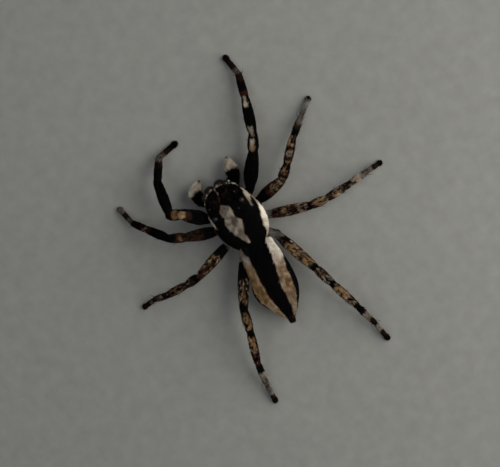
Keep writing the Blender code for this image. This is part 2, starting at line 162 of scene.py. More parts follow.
# region, middle, half sizes, sides and bands of the egg-shaped forms under the shield
UNDERSIDE = (("underside", (0, -1.62, 0.93), (1.10, 1.85, 0.33), 48, 20),
             ("sternum", (0, -1.42, 0.72), (0.44, 0.95, 0.245), 40, 16),
             ("mouth", (0, -2.58, 0.70), (0.15, 0.20, 0.22), 28, 16),
             ("mouth", (-0.19, -2.84, 0.70), (0.14, 0.30, 0.23), 28, 16),
             ("mouth", (0.19, -2.84, 0.70), (0.14, 0.30, 0.23), 28, 16))
# sideways place, length, radius and height of the small spinnerets, in pairs
SPINNERETS = ((0.095, 0.30, 0.100, 0.76), (0.090, 0.28, 0.085, 0.62),
              (0.035, 0.25, 0.060, 0.70))
SPINNERETS_ROOT = 4.09                              # place along the abdomen


def body_origin():
    """The middle of the waist on the floor; the carapace ends just ahead of it."""
    low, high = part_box("carapace")
    return np.array([0.5 * (low[0] + high[0]), high[1], 0.0]) / MM - (0, CARAPACE[0][0], 0)


ORIGIN = body_origin()


def on_side(point, side):
    """A left-hand point, taken to its own side of the body."""
    return np.array(point) * (SIDES[side], 1, 1)


def on_abdomen(x, s, z):
    """Points from sideways, along and upward places on the turned abdomen."""
    cosine, sine = math.cos(ABDOMEN_YAW), math.sin(ABDOMEN_YAW)
    return np.stack([x * cosine + s * sine, s * cosine - x * sine, z], axis=-1)


def read_row(stations, place, column, **beyond):
    """A column of stations read at places by their first column."""
    rows = np.array(stations)
    return np.interp(place, rows[:, 0], rows[:, column], **beyond)


def smooth_row(stations, count):
    """Even readings of a Catmull-Rom curve through the stations."""
    points = np.array(stations, dtype=float)
    last = len(points) - 1
    place = np.linspace(0, last, count)
    k = np.minimum(place.astype(int), last - 1)
    t = (place - k)[:, None]
    before, start, end, after = (points[np.clip(k + step, 0, last)] for step in (-1, 0, 1, 2))
    return 0.5 * (2 * start + (end - before) * t
                  + (2 * before - 5 * start + 4 * end - after) * t ** 2
                  + (3 * start - before - 3 * end + after) * t ** 3)


def grow(value, start, end):
    """0 before start, 1 after end, eased between."""
    t = np.clip((value - start) / (end - start), 0.0, 1.0)
    return t * t * (3 - 2 * t)


def bell(distance, width):
    """1 at no distance, fading over a width."""
    return np.exp(-(distance / width) ** 2)


def ripple(points, size, offset=0.0):
    """Smooth noise of -1 to 1 at points, in lumps of about a size in millimetres."""
    scaled = points / size + offset
    return np.array([noise.noise(point) for point in scaled])


# ---- forms under the skin ----------------------------------------------------------------
class Forms:
    """Closed shapes that are melted into one skin, each corner with its region's number."""

    def __init__(self):
        self.points = []
        self.faces = []
        self.labels = []
        self.regions = []
        self.count = 0

    def add(self, region, rings):
        """Join equal rings of points into a closed shape and file it under a region."""
        rings = np.asarray(rings)
        bands, sides = rings.shape[:2]
        ends = np.array([rings[0].mean(axis=0), rings[-1].mean(axis=0)])
        points = np.concatenate([rings.reshape(-1, 3), ends])
        index = np.arange(bands * sides).reshape(bands, sides) + self.count
        near, far = self.count + bands * sides, self.count + bands * sides + 1
        turned = np.roll(index, -1, axis=1)
        for k in range(bands - 1):
            self.faces += np.stack([index[k], turned[k], turned[k + 1], index[k + 1]],
                                   axis=1).tolist()
        self.faces += [(near, b, a) for a, b in zip(index[0].tolist(), turned[0].tolist())]
        self.faces += [(far, a, b) for a, b in zip(index[-1].tolist(), turned[-1].tolist())]
        if region not in self.regions:
            self.regions.append(region)
        self.labels.append(np.full(len(points), self.regions.index(region)))
        self.points.append(points)
        self.count += len(points)


def side_and_up(direction):
    """Level and upright directions square to a direction."""
    level = np.cross((0.0, 0.0, 1.0), direction)
    level /= np.linalg.norm(level)
    return level, np.cross(direction, level)


def stretch_axes(start, end):
    """Length of a stretch, its direction, and the level and upright directions across it."""
    length = np.linalg.norm(end - start)
    direction = (end - start) / length
    return (length, direction, *side_and_up(direction))


def circle(sides, level, upright, tall=1.0):
    """Directions from a middle to the points of a ring, its height scaled."""
    turn = (2 * np.pi * np.arange(sides) / sides)[:, None]
    return np.cos(turn) * level + tall * np.sin(turn) * upright


def spindle(start, end, radii, sides=28, bands=22, tall=1.0, bow=0.0):
    """Rings of a round-ended segment; radii are at its base, widest part and end."""
    start = np.asarray(start, float)
    length, direction, level, upright = stretch_axes(start, np.asarray(end, float))
    base, widest, tip = radii
    places = np.concatenate([-base * np.cos(np.linspace(0.15, 1.5, 5)),
                             np.linspace(0, length, bands),
                             length + tip * np.sin(np.linspace(0.1, 1.42, 5))])
    ring = circle(sides, level, upright, tall)
    rings = []
    for place in places:
        t = np.clip(place / length, 0, 1)
        if t < 0.45:
            radius = base + (widest - base) * math.sin(0.5 * math.pi * t / 0.45) ** 1.2
        else:
            radius = tip + (widest - tip) * math.cos(0.5 * math.pi * (t - 0.45) / 0.55) ** 0.8
        if place < 0:
            radius = base * math.sqrt(max(1 - (place / base) ** 2, 0.01))
        if place > length:
            radius = tip * math.sqrt(max(1 - ((place - length) / tip) ** 2, 0.01))
        centre = start + direction * place + upright * bow * math.sin(math.pi * t)
        rings.append(centre + radius * ring)
    return np.array(rings)


def blob(centre, halves, sides=28, bands=16):
    """Rings of an egg shape with level rings."""
    turn = 2 * np.pi * np.arange(sides) / sides
    rings = []
    for rise in np.linspace(-0.5 * np.pi + 0.06, 0.5 * np.pi - 0.06, bands):
        rings.append(np.stack([centre[0] + halves[0] * np.cos(rise) * np.cos(turn),
                               centre[1] + halves[1] * np.cos(rise) * np.sin(turn),
                               np.full(sides, centre[2] + halves[2] * np.sin(rise))], axis=1))
    return np.array(rings)


def section_ring(half_width, top, middle, bottom, squareness, sides=96):
    """Points of a rounded section as sideways and upward places, left side first."""
    angle = 2 * np.pi * np.arange(sides) / sides
    power = 2.0 / squareness
    c, s = np.cos(angle), np.sin(angle)
    reach = np.where(s >= 0, top - middle, middle - bottom)
    return (half_width * np.sign(c) * np.abs(c) ** power,
            middle + reach * np.sign(s) * np.abs(s) ** power)


def carapace_relief(x, y):
    """Bulges and furrows of the shield's back."""
    brow = sum(height * bell(np.hypot(np.abs(x) - out, y - along), width)
               for out, along, height, width in EYE_BULGES)
    groove = -0.050 * bell(x, 0.05) * bell(y - FOVEA_Y, 0.24)
    saddle = -0.035 * bell(y + 2.08, 0.20) * bell(x, 0.75)
    valley = -0.020 * bell(x, 0.10) * bell(y + 3.2, 0.35)
    rays = sum(-0.016 * bell(y - FOVEA_Y + lean * np.abs(x), 0.07) * grow(np.abs(x), 0.1, 0.45)
               for lean in (-0.75, -0.1, 0.6))
    return brow + groove + saddle + valley + rays


def add_shield_forms(forms, depth):
    """Shield, face, sternum, mouthparts and stalk."""
    rings = []
    for y, half_width, top in smooth_row(CARAPACE, 64):
        x, z = section_ring(half_width - depth, top - depth, MARGIN_Z, MARGIN_Z - 0.07,
                            CARAPACE_SQUARENESS)
        z = z + carapace_relief(x, np.full_like(x, y)) * grow(z, MARGIN_Z + 0.1, MARGIN_Z + 0.4)
        rings.append(np.stack([x, np.full_like(x, y), z], axis=1))
    rings[0] = rings[0] * (0.85, 1, 1) + (0, -0.01, 0)
    rings[-1] = rings[-1] * (0.97, 1, 1) + (0, depth * 0.6, 0)
    forms.add("carapace", rings)
    face = []
    for y, half_width, top in FACE:
        x, z = section_ring(half_width, top, 1.12, 0.90, 3.0, 48)
        face.append(np.stack([x, np.full_like(x, y), z], axis=1))
    forms.add("face", face)
    for region, *egg in UNDERSIDE:
        forms.add(region, blob(*egg))
    forms.add("stalk", spindle((0, -0.50, 0.80), (0, 0.40, 0.84), (0.16, 0.14, 0.16)))


def add_abdomen_forms(forms, depth):
    """Abdomen with its waist and hairy front corners, and the spinnerets."""
    rings = []
    for s, bow, half_width, top, bottom in smooth_row(ABDOMEN, 84):
        x, z = section_ring(half_width - depth, top - depth, 0.5 * (top + bottom),
                            bottom + depth, ABDOMEN_SQUARENESS)
        dimples = sum(-0.022 * bell(np.hypot(np.abs(x) - 0.30, s - place), 0.07)
                      for place in (1.15, 1.75, 2.35))
        heart = 0.018 * bell(x, 0.16) * grow(s, 0.3, 0.8) * (1 - grow(s, 1.9, 2.6))
        z = z + (dimples + heart) * (z > 1.0)
        rings.append(on_abdomen(x + bow, np.full_like(x, s), z))
    forms.add("abdomen", rings)
    forms.add("abdomen", blob((0.10, 0.12, 1.01), (0.64, 0.38, 0.29), 40, 16))
    for start, end, radii in SHOULDERS:
        forms.add("abdomen", spindle(on_abdomen(*start), on_abdomen(*end), radii, 36, 20))
    forms.add("spinnerets", spindle(on_abdomen(0, 3.95, 0.74), on_abdomen(0, 4.27, 0.68),
                                    (0.22, 0.19, 0.135)))
    for x, length, radius, z in SPINNERETS:
        for sign in SIDES.values():
            root = on_abdomen(sign * x, SPINNERETS_ROOT, z)
            end = on_abdomen(sign * x * 0.9, SPINNERETS_ROOT + length, z - 0.05)
            forms.add("spinnerets", spindle(root, end, (radius, radius * 1.05, radius * 0.6),
                                            16, 10))


def palp_joints(side):
    """Root, knee, middle, wrist and tip of one palp."""
    stem, tip = "palp_%s_stem" % side, "palp_%s_tip" % side
    knee, wrist = on_side(PALP_KNEE, side), joint_between(stem, tip)
    return [on_side(PALP_ROOT, side), knee, knee + (wrist - knee) * 0.50, wrist,
            far_end(tip, wrist)]


def segment_ends():
    """Start and end of every segment of the legs, palps and chelicerae, by region name."""
    ends = {}
    for side in SIDES:
        limbs = {"leg_%d_%s" % (pair, side): leg_joints(pair, side) for pair in HIPS}
        limbs["palp_" + side] = palp_joints(side)
        for limb, joints in limbs.items():
            for index, stretch in enumerate(zip(joints, joints[1:])):
                ends["%s_%d" % (limb, index)] = stretch
        ends["chelicera_" + side] = [on_side(point, side) for point in CHELICERA]
    return ends


def add_head_limbs(forms, ends):
    """Chelicerae, palps and the sockets the lenses sit in."""
    for side in SIDES:
        name = "chelicera_" + side
        forms.add(name, spindle(*ends[name], CHELICERA_SKIN, 36, 22))
        for index, radii in enumerate(PALP_SKIN):
            name = "palp_%s_%d" % (side, index)
            forms.add(name, spindle(*ends[name], radii))
        for row in EYE_ROWS:
            centre, axis, radius = lens_place("eye_%s_%s" % (row, side))[:3]
            forms.add("socket", spindle(centre - axis * radius * 1.1, centre + axis * 0.012,
                                        (radius * 0.9, radius * 1.10, radius * 1.0), 32, 14)[5:-4])


def add_leg_forms(forms, ends):
    """Eight legs of six segments each."""
    for pair in HIPS:
        for side in SIDES:
            for index, radii in enumerate(LEG_SKIN[pair]):
                name = "leg_%d_%s_%d" % (pair, side, index)
                forms.add(name, spindle(*ends[name], radii, 28, 26, LEG_TALL[index],
                                        LEG_BOW[index]))


def lens_place(name):
    """Centre of a lens's back, its outward direction, radius and bulge."""
    points = node_points(name) - ORIGIN
    middle = points.mean(axis=0)
    spread, axes = np.linalg.eigh(np.cov((points - middle).T))
    odd = 0 if spread[1] - spread[0] > spread[2] - spread[1] else 2
    axis = axes[:, odd]
    if axis @ (middle - HEAD_MIDDLE) < 0:
        axis = -axis
    along = (points - middle) @ axis
    rim = np.linalg.norm(points - middle - along[:, None] * axis, axis=1)
    back = points[along < along.min() + 0.01].mean(axis=0)
    return back, axis, rim.max(), along.max() - along.min()


# ---- meshes ------------------------------------------------------------------------------
def mesh_object(name, points, faces, smooth=True):
    """A mesh object from points in metres and faces of one number of corners."""
    faces = np.asarray(faces, dtype=np.int32)
    count, corners = faces.shape
    mesh = bpy.data.meshes.new(name)
    mesh.vertices.add(len(points))
    mesh.vertices.foreach_set("co", np.asarray(points, dtype=np.float32).ravel())
    mesh.loops.add(count * corners)
    mesh.loops.foreach_set("vertex_index", faces.ravel())
    mesh.polygons.add(count)
    mesh.polygons.foreach_set("loop_start", np.arange(0, count * corners, corners,
                                                      dtype=np.int32))
    mesh.polygons.foreach_set("use_smooth", np.full(count, smooth))
    mesh.update(calc_edges=True)
    mesh.validate()
    made = bpy.data.objects.new(name, mesh)
    bpy.context.scene.collection.objects.link(made)
    return made


def store(mesh, name, values):
    """Write one number or direction per corner of a mesh as a named attribute."""
    values = np.asarray(values, dtype=np.float32)
    kind = "FLOAT_VECTOR" if values.ndim == 2 else "FLOAT"
    attribute = mesh.attributes.new(name, kind, "POINT")
    attribute.data.foreach_set("vector" if values.ndim == 2 else "value", values.ravel())


def recall(mesh, name):
    """Read a named attribute back as an array."""
    data = mesh.attributes[name].data
    wide = mesh.attributes[name].data_type == "FLOAT_VECTOR"
    values = np.empty(len(data) * (3 if wide else 1), dtype=np.float32)
    data.foreach_get("vector" if wide else "value", values)
    return values.reshape(-1, 3) if wide else values


def read_mesh(mesh):
    """Corners, their normals and the four-sided faces of a mesh, as arrays."""
    points = np.empty(len(mesh.vertices) * 3)
    mesh.vertices.foreach_get("co", points)
    normals = np.empty(len(mesh.vertices) * 3)
    mesh.vertices.foreach_get("normal", normals)
    faces = np.empty(len(mesh.loops), dtype=np.int32)
    mesh.loops.foreach_get("vertex_index", faces)
    return points.reshape(-1, 3), normals.reshape(-1, 3), faces.reshape(-1, 4)


def tube_faces(bands, sides, first=0):
    """Triangles of a closed tube of rings, whose two end points come after them."""
    near, far = first + bands * sides, first + bands * sides + 1
    last = far - 1 - sides
    faces = []
    for i in range(sides):
        j = (i + 1) % sides
        for k in range(bands - 1):
            a, b = first + k * sides + i, first + k * sides + j
            faces += [(a, b, b + sides), (a, b + sides, a + sides)]
        faces += [(near, first + j, first + i), (far, last + i, last + j)]
    return faces


# ---- markings ----------------------------------------------------------------------------
# tone: pale hair, its warmth, darkness of hair and shell, redness of the shell
TONES = {
    "black": (0.0, 0.5, 1.25, 0.2),
    "dusk": (0.0, 0.6, 0.90, 0.5),
    "brown": (0.32, 0.95, 0.70, 0.5),
    "rust": (0.0, 0.7, 0.58, 1.0),
    "olive": (0.62, 0.95, 0.70, 0.1),
    "tan": (0.85, 0.95, 0.42, 0.4),
    "pink": (0.90, 0.38, 0.42, 0.8),
    "white": (1.10, 0.00, 0.10, 0.4),
    "ash": (0.78, 0.35, 0.79, 0.2),
    "buff": (0.88, 0.60, 0.60, 0.4),
    "moss": (0.75, 0.25, 0.93, 0.1),
    "grey": (0.40, 0.30, 0.72, 0.2),
}
PALE_TONES = ("tan", "pink", "buff", "olive", "brown", "ash", "moss")
# where each tone ends along the leg: 0 to 1 is the coxa, 1 to 2 the femur and so on
LEG_BANDS = {
    (1, "right"): (
        (2.02, "black"), (2.14, "brown"), (2.46, "tan"), (2.78, "pink"), (2.94, "black"),
        (3.22, "buff"), (3.76, "black"), (4.12, "pink"), (4.32, "rust"), (4.62, "black"),
        (4.95, "dusk"), (5.30, "grey"), (6.0, "dusk")),
    (1, "left"): (
        (1.76, "black"), (1.94, "brown"), (2.40, "tan"), (2.56, "brown"), (2.84, "dusk"),
        (4.48, "black"), (4.74, "dusk"), (5.34, "grey"), (5.66, "dusk"), (6.0, "black")),
    (2, "right"): (
        (1.42, "black"), (1.58, "rust"), (1.90, "olive"), (2.34, "buff"), (2.52, "rust"),
        (2.76, "olive"), (3.12, "tan"), (3.30, "olive"), (3.52, "buff"), (3.68, "dusk"),
        (4.08, "tan"), (4.42, "black"), (4.62, "brown"), (5.08, "moss"), (5.28, "grey"),
        (6.0, "moss")),
    (2, "left"): (
        (1.50, "black"), (2.14, "brown"), (2.44, "olive"), (2.62, "rust"), (3.74, "black"),
        (3.90, "brown"), (4.14, "tan"), (4.30, "brown"), (4.90, "black"), (5.30, "grey"),
        (5.70, "dusk"), (6.0, "moss")),
    (3, "right"): (
        (1.12, "moss"), (1.34, "rust"), (1.52, "olive"), (1.72, "rust"), (1.94, "buff"),
        (2.12, "black"), (2.32, "rust"), (2.96, "tan"), (3.10, "buff"), (3.32, "rust"),
        (3.68, "tan"), (4.14, "dusk"), (4.28, "olive"), (4.58, "buff"), (4.74, "moss"),
        (5.12, "grey"), (5.34, "ash"), (6.0, "dusk")),
    (3, "left"): (
        (1.10, "moss"), (1.36, "black"), (1.60, "brown"), (1.78, "olive"), (2.00, "rust"),
        (2.40, "black"), (3.30, "brown"), (3.72, "olive"), (4.16, "dusk"), (4.70, "grey"),
        (5.10, "dusk"), (5.40, "grey"), (6.0, "dusk")),
    (4, "right"): (
        (1.10, "moss"), (1.28, "dusk"), (1.54, "tan"), (1.72, "olive"), (1.90, "tan"),
        (2.12, "black"), (2.54, "olive"), (2.92, "buff"), (3.12, "black"), (3.66, "tan"),
        (3.90, "olive"), (4.36, "black"), (4.72, "ash"), (5.10, "dusk"), (5.50, "ash"),
        (6.0, "dusk")),
    # on the left hind leg the black band from 1.06 to 1.42 and the brown after it to 1.66 are
    # painted shadow between the leg and the abdomen
    (4, "left"): (
        (1.06, "buff"), (1.42, "black"), (1.66, "brown"), (1.90, "olive"), (2.12, "black"),
        (2.64, "olive"), (2.92, "tan"), (3.12, "black"), (3.66, "tan"), (4.10, "rust"),
        (4.44, "black"), (4.78, "ash"), (5.22, "grey"), (5.64, "moss"), (6.0, "dusk")),
}
BAND_EASE = 0.025           # half of the stretch over which one band gives way to the next
# how far a pale band reaches down each side of a leg, in radians from its top
BAND_REACH = {(1, "right"): 0.25, (1, "left"): 0.85, (2, "right"): 0.75, (2, "left"): 0.65,
              (3, "right"): 0.95, (3, "left"): 0.90, (4, "right"): 0.95, (4, "left"): 0.90}
# place along the shield, then the middle patch's right and left edges
PATCH = ((-2.88, 0.10, 0.20), (-2.53, -0.20, 0.48), (-2.20, -0.14, 0.41), (-1.90, -0.10, 0.60),
         (-1.62, -0.28, 0.61), (-1.30, -0.12, 0.54), (-1.06, 0.05, 0.46), (-0.60, 0.08, 0.31),
         (-0.45, 0.15, 0.22))
# place along the shield, then how high above its edge the white side band reaches
SIDE_BAND = ((-2.80, 0.03), (-2.45, 0.07), (-2.05, 0.13), (-1.70, 0.23), (-1.20, 0.36),
             (-0.70, 0.29), (-0.40, 0.15), (-0.18, 0.00))
# tone, half width, how much wider it is at its end, and the line itself
HEAD_LINES = (
    ("pink", 0.035, 0.0, ((0.00, -3.70), (0.32, -3.70), (0.62, -3.62), (0.80, -3.62))),
    ("pink", 0.026, 0.6, ((0.72, -3.62), (0.98, -3.36), (1.09, -3.03), (1.16, -2.66),
                           (1.22, -2.45))),
    ("pink", 0.085, -0.7, ((1.16, -2.72), (1.15, -2.30), (1.09, -1.90))),
    ("rust", 0.030, 0.0, ((0.95, -3.12), (0.90, -2.90), (0.72, -2.78), (0.66, -2.56))),
    ("pink", 0.018, 0.0, ((0.74, -2.80), (0.79, -2.67), (0.90, -2.65))),
    ("rust", 0.030, 0.0, ((0.30, -3.10), (0.36, -2.84), (0.58, -2.70))),
)
BACK_Z = 1.35               # the back's markings lie above this height
MIDDLE_LINE = ((0.00, -3.68), (-0.06, -3.50), (0.02, -3.24), (0.13, -2.94))
GLINT = ((-0.42, -2.22), (-0.54, -2.14))
# place along the abdomen, then the black band's right and left edges
BAND = ((-0.20, -0.53, 0.82), (0.03, -0.52, 0.80), (0.30, -0.50, 0.68), (0.85, -0.47, 0.62),
        (1.40, -0.49, 0.56), (2.00, -0.46, 0.45), (2.50, -0.44, 0.41), (3.00, -0.41, 0.34),
        (3.50, -0.36, 0.30), (3.90, -0.26, 0.24), (4.15, -0.16, 0.16))
# place along the abdomen, then how far round the right and left stripes reach, in degrees
STRIPE_REACH = ((0.10, 104, 100), (0.60, 96, 96), (1.10, 68, 84), (1.65, 60, 72),
                (2.20, 58, 62), (2.80, 60, 60), (3.30, 62, 64), (3.60, 70, 70),
                (4.00, 80, 80))


def from_line(x, y, line):
    """Distance to a bent line, seen from above."""
    best = np.full(len(x), 9.0)
    for (ax, ay), (bx, by) in zip(line, line[1:]):
        dx, dy = bx - ax, by - ay
        t = np.clip(((x - ax) * dx + (y - ay) * dy) / (dx * dx + dy * dy), 0, 1)
        best = np.minimum(best, np.hypot(x - ax - t * dx, y - ay - t * dy))
    return best


def tone_arrays(count, tone):
    """The four numbers of a tone for a count of corners."""
    return np.tile(np.array(TONES[tone]), (count, 1))


def paint(values, tone, weight):
    """Lay a tone over others by a weight of 0 to 1."""
    values += (np.array(TONES[tone]) - values) * weight[:, None]


def layered(count, base, layers):
    """Tones laid one after another over a base, each with its own weight."""
    values = tone_arrays(count, base)
    for tone, weight in layers:
        paint(values, tone, weight)
    return values


def line_mask(x, y, line, half_width, growth=0.0, warp=0.0):
    """1 on a bent line, 0 off it; growth is how much wider it is at its end."""
    ends = np.array(line)
    run = ends[-1] - ends[0]
    t = np.clip(((x - ends[0][0]) * run[0] + (y - ends[0][1]) * run[1]) / (run @ run), 0, 1)
    reach = half_width * (1 + growth * t) + warp
    return grow(reach - from_line(x, y, line), 0.0, 0.03)


def head_marks(points):
    """Tones of the shield and the face, and where the shell is bare."""
    x, y, z = points.T
    warp = 0.035 * ripple(points, 0.16) + 0.02 * ripple(points, 0.07, 5.0)
    across = np.abs(x)
    up = z > BACK_Z
    inside = np.minimum(x - read_row(PATCH, y, 1, left=9, right=9),
                        read_row(PATCH, y, 2, left=-9, right=-9) - x) + warp
    within = (inside > 0) * up
    cloud = ripple(points, 0.20, 2.0)
    spot = grow(0.19 + warp - np.hypot(x - 0.17, 0.6 * (y + 1.72)), 0, 0.08)
    reach = read_row(SIDE_BAND, y, 1, left=-1, right=-1) * np.where(x < 0, 1.0, 0.35)
    band = grow(reach + 0.6 * warp - (z - MARGIN_Z), 0.0, 0.04) * (reach > 0) * (across > 0.5)
    bright = grow(y, -2.10, -1.60) * (1 - grow(y, -0.75, -0.25))
    brow = np.hypot(across - BROW[0], y - BROW[1])
    front = grow(-y, 3.55, 3.64)
    lines = [(tone, line_mask(across, y, line, half_width, growth, 0.4 * warp)
              * (z > 1.1) * (1 - band)) for tone, half_width, growth, line in HEAD_LINES]
    marks = layered(len(x), "black", (
        ("ash", grow(inside, 0.0, 0.06) * up),
        ("buff", 0.6 * bell(inside - 0.06, 0.07) * within),
        ("pink", 0.6 * grow(cloud, 0.10, 0.35) * within),
        ("moss", 0.9 * grow(inside, 0.03, 0.12) * grow(-cloud, -0.02, 0.18)
         * bell(y + 1.75, 0.85) * up),
        ("grey", 0.9 * spot * up),
        ("rust", 0.5 * bell(inside, 0.04) * up),
        ("pink", band),
        ("buff", band * (y < -1.9) * 0.6),
        # both side bands start pink; the right one turns white along its middle and the left one
        # ash all along: the left band's ash is painted shade on the side away from the light
        ("white", band * bright * (x < 0)),
        ("ash", band * (x > 0)),
        *lines,
        ("pink", line_mask(x, y, MIDDLE_LINE, 0.032, 0.0, 0.4 * warp) * up),
        ("white", line_mask(x, y, GLINT, 0.022) * up),
        ("rust", 0.6 * grow(ripple(points, 0.15, 37.0), 0.0, 0.2)
         * (1 - grow(brow, 0.30, 0.65)) * (inside < -0.05) * up),
        ("tan", 0.8 * front * (z < 1.02)),
        ("pink", 0.7 * front * bell(z - 0.98, 0.06))))
    return marks, (1 - grow(brow, 0.17, 0.20)) * up


def abdomen_place(points):
    """Sideways place from the bowed middle, along and upward places on the abdomen."""
    cosine, sine = math.cos(ABDOMEN_YAW), math.sin(ABDOMEN_YAW)
    x, y, z = points.T
    s = x * sine + y * cosine
    return x * cosine - y * sine - read_row(ABDOMEN, s, 1), s, z


def abdomen_marks(points):
    """Black median band, two pale stripes, thin black sides and a pale belly; the left stripe is
    laid darker than the right as painted shade.
    """
    x, s, z = abdomen_place(points)
    warp = 0.040 * ripple(points, 0.30) + 0.025 * ripple(points, 0.10, 3.0)
    half_width, top, bottom = (read_row(ABDOMEN, s, column) for column in (2, 3, 4))
    middle = 0.5 * (top + bottom)
    tilt = np.degrees(np.arctan2(np.abs(x) / half_width, (z - middle) / (top - middle)))
    edge = np.where(x < 0, -read_row(BAND, s, 1), read_row(BAND, s, 2))
    reach = np.where(x < 0, read_row(STRIPE_REACH, s, 1), read_row(STRIPE_REACH, s, 2))
    from_band = np.abs(x) - edge + warp
    stripe = grow(from_band, 0.0, 0.05) * grow(reach + 70 * warp - tilt, 0.0, 5.0)
    stripe *= grow(s, -0.34, -0.24) * (1 - grow(s + 2 * warp, 3.95, 4.15))
    left = x > 0
    cloud = ripple(points, 0.55, 4.0)
    fleck = ripple(points, 0.15, 9.0)
    belly = grow(tilt + 60 * warp, 112, 122) * (1 - grow(s, 3.9, 4.2))
    # the left stripe is ash where the right is white, turns tan sooner and takes more olive and
    # less pink and buff: painted shade on the side away from the light
    return layered(len(x), "black", (
        ("white", stripe * np.where(left, 0.0, 0.9)),
        ("ash", stripe * left),
        ("tan", stripe * np.where(left, grow(s + 0.4 * cloud, 0.1, 1.3),
                                  grow(s + 0.4 * cloud, 0.8, 1.8))),
        ("pink", stripe * 0.6 * grow(fleck, 0.05, 0.35)
         * np.where(left, 1 - grow(s, 0.5, 0.9), grow(s, 0.4, 0.9))),
        ("olive", stripe * 0.9 * bell(s - 2.12 + 0.3 * cloud, 0.30)
         * bell(np.abs(x) - 0.62, 0.22)),
        ("olive", stripe * 0.9 * grow(fleck, 0.02, 0.22) * grow(s, 0.9, 1.4)
         * np.where(left, 1.0, 0.6)),
        ("pink", stripe * 0.8 * grow(-fleck, 0.08, 0.28) * grow(s, 1.0, 1.6)
         * np.where(left, 0.35, 1.0)),
        ("buff", stripe * 0.5 * grow(s, 2.5, 3.0) * np.where(left, 0.5, 1.0)),
        ("rust", 0.8 * bell(from_band - 0.005, 0.035) * (tilt < 75) * (s > 0.3)),
        ("grey", belly),
        ("tan", 0.5 * belly * (1 - bell(x, 0.22)))))


def leg_marks(points, pair, side, u, around):
    """Tones along one leg: pale bands on its back, mottling, dark sides and underside."""
    warp = 0.055 * ripple(points, 0.22) + 0.045 * ripple(points, 0.08, 7.0)
    u = u + warp
    down = np.abs(around) + 6.0 * warp
    on_top = 1 - grow(down, BAND_REACH[pair, side], BAND_REACH[pair, side] + 0.45)
    pale_reach = on_top + (1 - on_top) * grow(u, 4.2, 4.5) * (pair > 1)
    values = tone_arrays(len(u), "black")
    plain = np.zeros(len(u))
    start = 0.0
    for edge, tone in LEG_BANDS[pair, side]:
        band = (grow(u, start - BAND_EASE, start + BAND_EASE)
                * (1 - grow(u, edge - BAND_EASE, edge + BAND_EASE)))
        paint(values, "dusk" if tone in PALE_TONES and pair > 1 else "black", band)
        paint(values, tone, band * (pale_reach if tone in PALE_TONES else 1.0))
        plain = np.maximum(plain, band * (tone == "black"))
        start = edge
    if pair > 1:
        worn = (u > 1.1) * (u < 4.3) * (1 - plain)
        spots = ripple(points, 0.13, 31.0)
        paint(values, "tan" if pair > 2 else "brown",
              0.5 * grow(spots, 0.20, 0.36) * on_top * worn)
        paint(values, "rust", 0.8 * grow(ripple(points, 0.16, 17.0), 0.06, 0.22) * worn)
        paint(values, "black", 0.9 * grow(-spots, 0.08, 0.24) * worn)
        paint(values, "pink", 0.7 * grow(ripple(points, 0.10, 23.0), 0.34, 0.44) * worn
              * on_top * (pair > 2))
    return values


def palp_marks(points, u):
    """Dark bushy stem, cream last segment and a small dark tip."""
    u = u + 0.12 * ripple(points, 0.16)
    values = tone_arrays(len(u), "black")
    cream = grow(u, 2.05, 2.30)
    paint(values, "pink", cream)
    paint(values, "white", 0.4 * cream * grow(ripple(points, 0.2, 3.0), -0.2, 0.2))
    paint(values, "dusk", grow(u, 3.78, 3.92))
    return values


# ---- skin --------------------------------------------------------------------------------
BACKWARD = (0.0, 1.0, -0.1)         # how hair lies on the plain parts of the trunk
TRUNK_MIDDLE_Z = 0.9                # heights of the middles that places around are read from
ABDOMEN_MIDDLE_Z = 0.85
SKIN_SHADE = 0.45                   # the skin's own readings, where each hair has its own
SKIN_TIP = 0.30
# tone and bareness of the trunk's plain regions
TRUNK_TONES = {"stalk": ("black", 0.0), "sternum": ("dusk", 0.5), "mouth": ("rust", 0.4),
               "underside": ("rust", 0.4), "spinnerets": ("dusk", 0.0)}


def melt(forms, grid, passes):
    """One even mesh over all the forms, its corners and four-sided faces."""
    mesh = bpy.data.meshes.new("forms")
    mesh.from_pydata(np.concatenate(forms.points).tolist(), [], forms.faces)
    rough = bpy.data.objects.new("forms", mesh)
    bpy.context.scene.collection.objects.link(rough)
    remesh = rough.modifiers.new("even", "REMESH")
    remesh.mode = "VOXEL"
    remesh.voxel_size = grid
    relax = rough.modifiers.new("relax", "SMOOTH")
    relax.factor = 0.5
    relax.iterations = passes
    bpy.context.view_layer.update()
    view = bpy.context.evaluated_depsgraph_get()
    done = bpy.data.meshes.new_from_object(rough.evaluated_get(view))
    points, normals, faces = read_mesh(done)
    bpy.data.objects.remove(rough)
    bpy.data.meshes.remove(done)
    return points, normals, faces


def nearest_regions(forms, points):
    """Number of the region each skin corner belongs to."""
    source = np.concatenate(forms.points)
    labels = np.concatenate(forms.labels)
    tree = kdtree.KDTree(len(source))
    for index, point in enumerate(source):
        tree.insert(point, index)
    tree.balance()
    return labels[[tree.find(point)[1] for point in points]]


def dress_limb(p, region, start, end):
    """Markings, bareness, lie of the hair, places along and around, and girth of a segment."""
    length, direction, level, upright = stretch_axes(start, end)
    t = (p - start) @ direction
    off = p - start - t[:, None] * direction
    around = np.arctan2(off @ level, off @ upright)
    limb, *place = region.split("_")
    index = 0 if limb == "chelicera" else int(place[-1])
    along = index + np.clip(t / length, -0.05, 1.0)
    bare = 0.0
    if limb == "leg":
        marks = leg_marks(p, int(place[0]), place[1], along, around)
    elif limb == "palp":
        marks = palp_marks(p, along)
    else:
        marks = tone_arrays(len(p), "rust")
        paint(marks, "black", 0.5 + 0.4 * ripple(p, 0.3))
        bare = 0.7
    return marks, bare, direction, along, around, np.linalg.norm(off, axis=1)


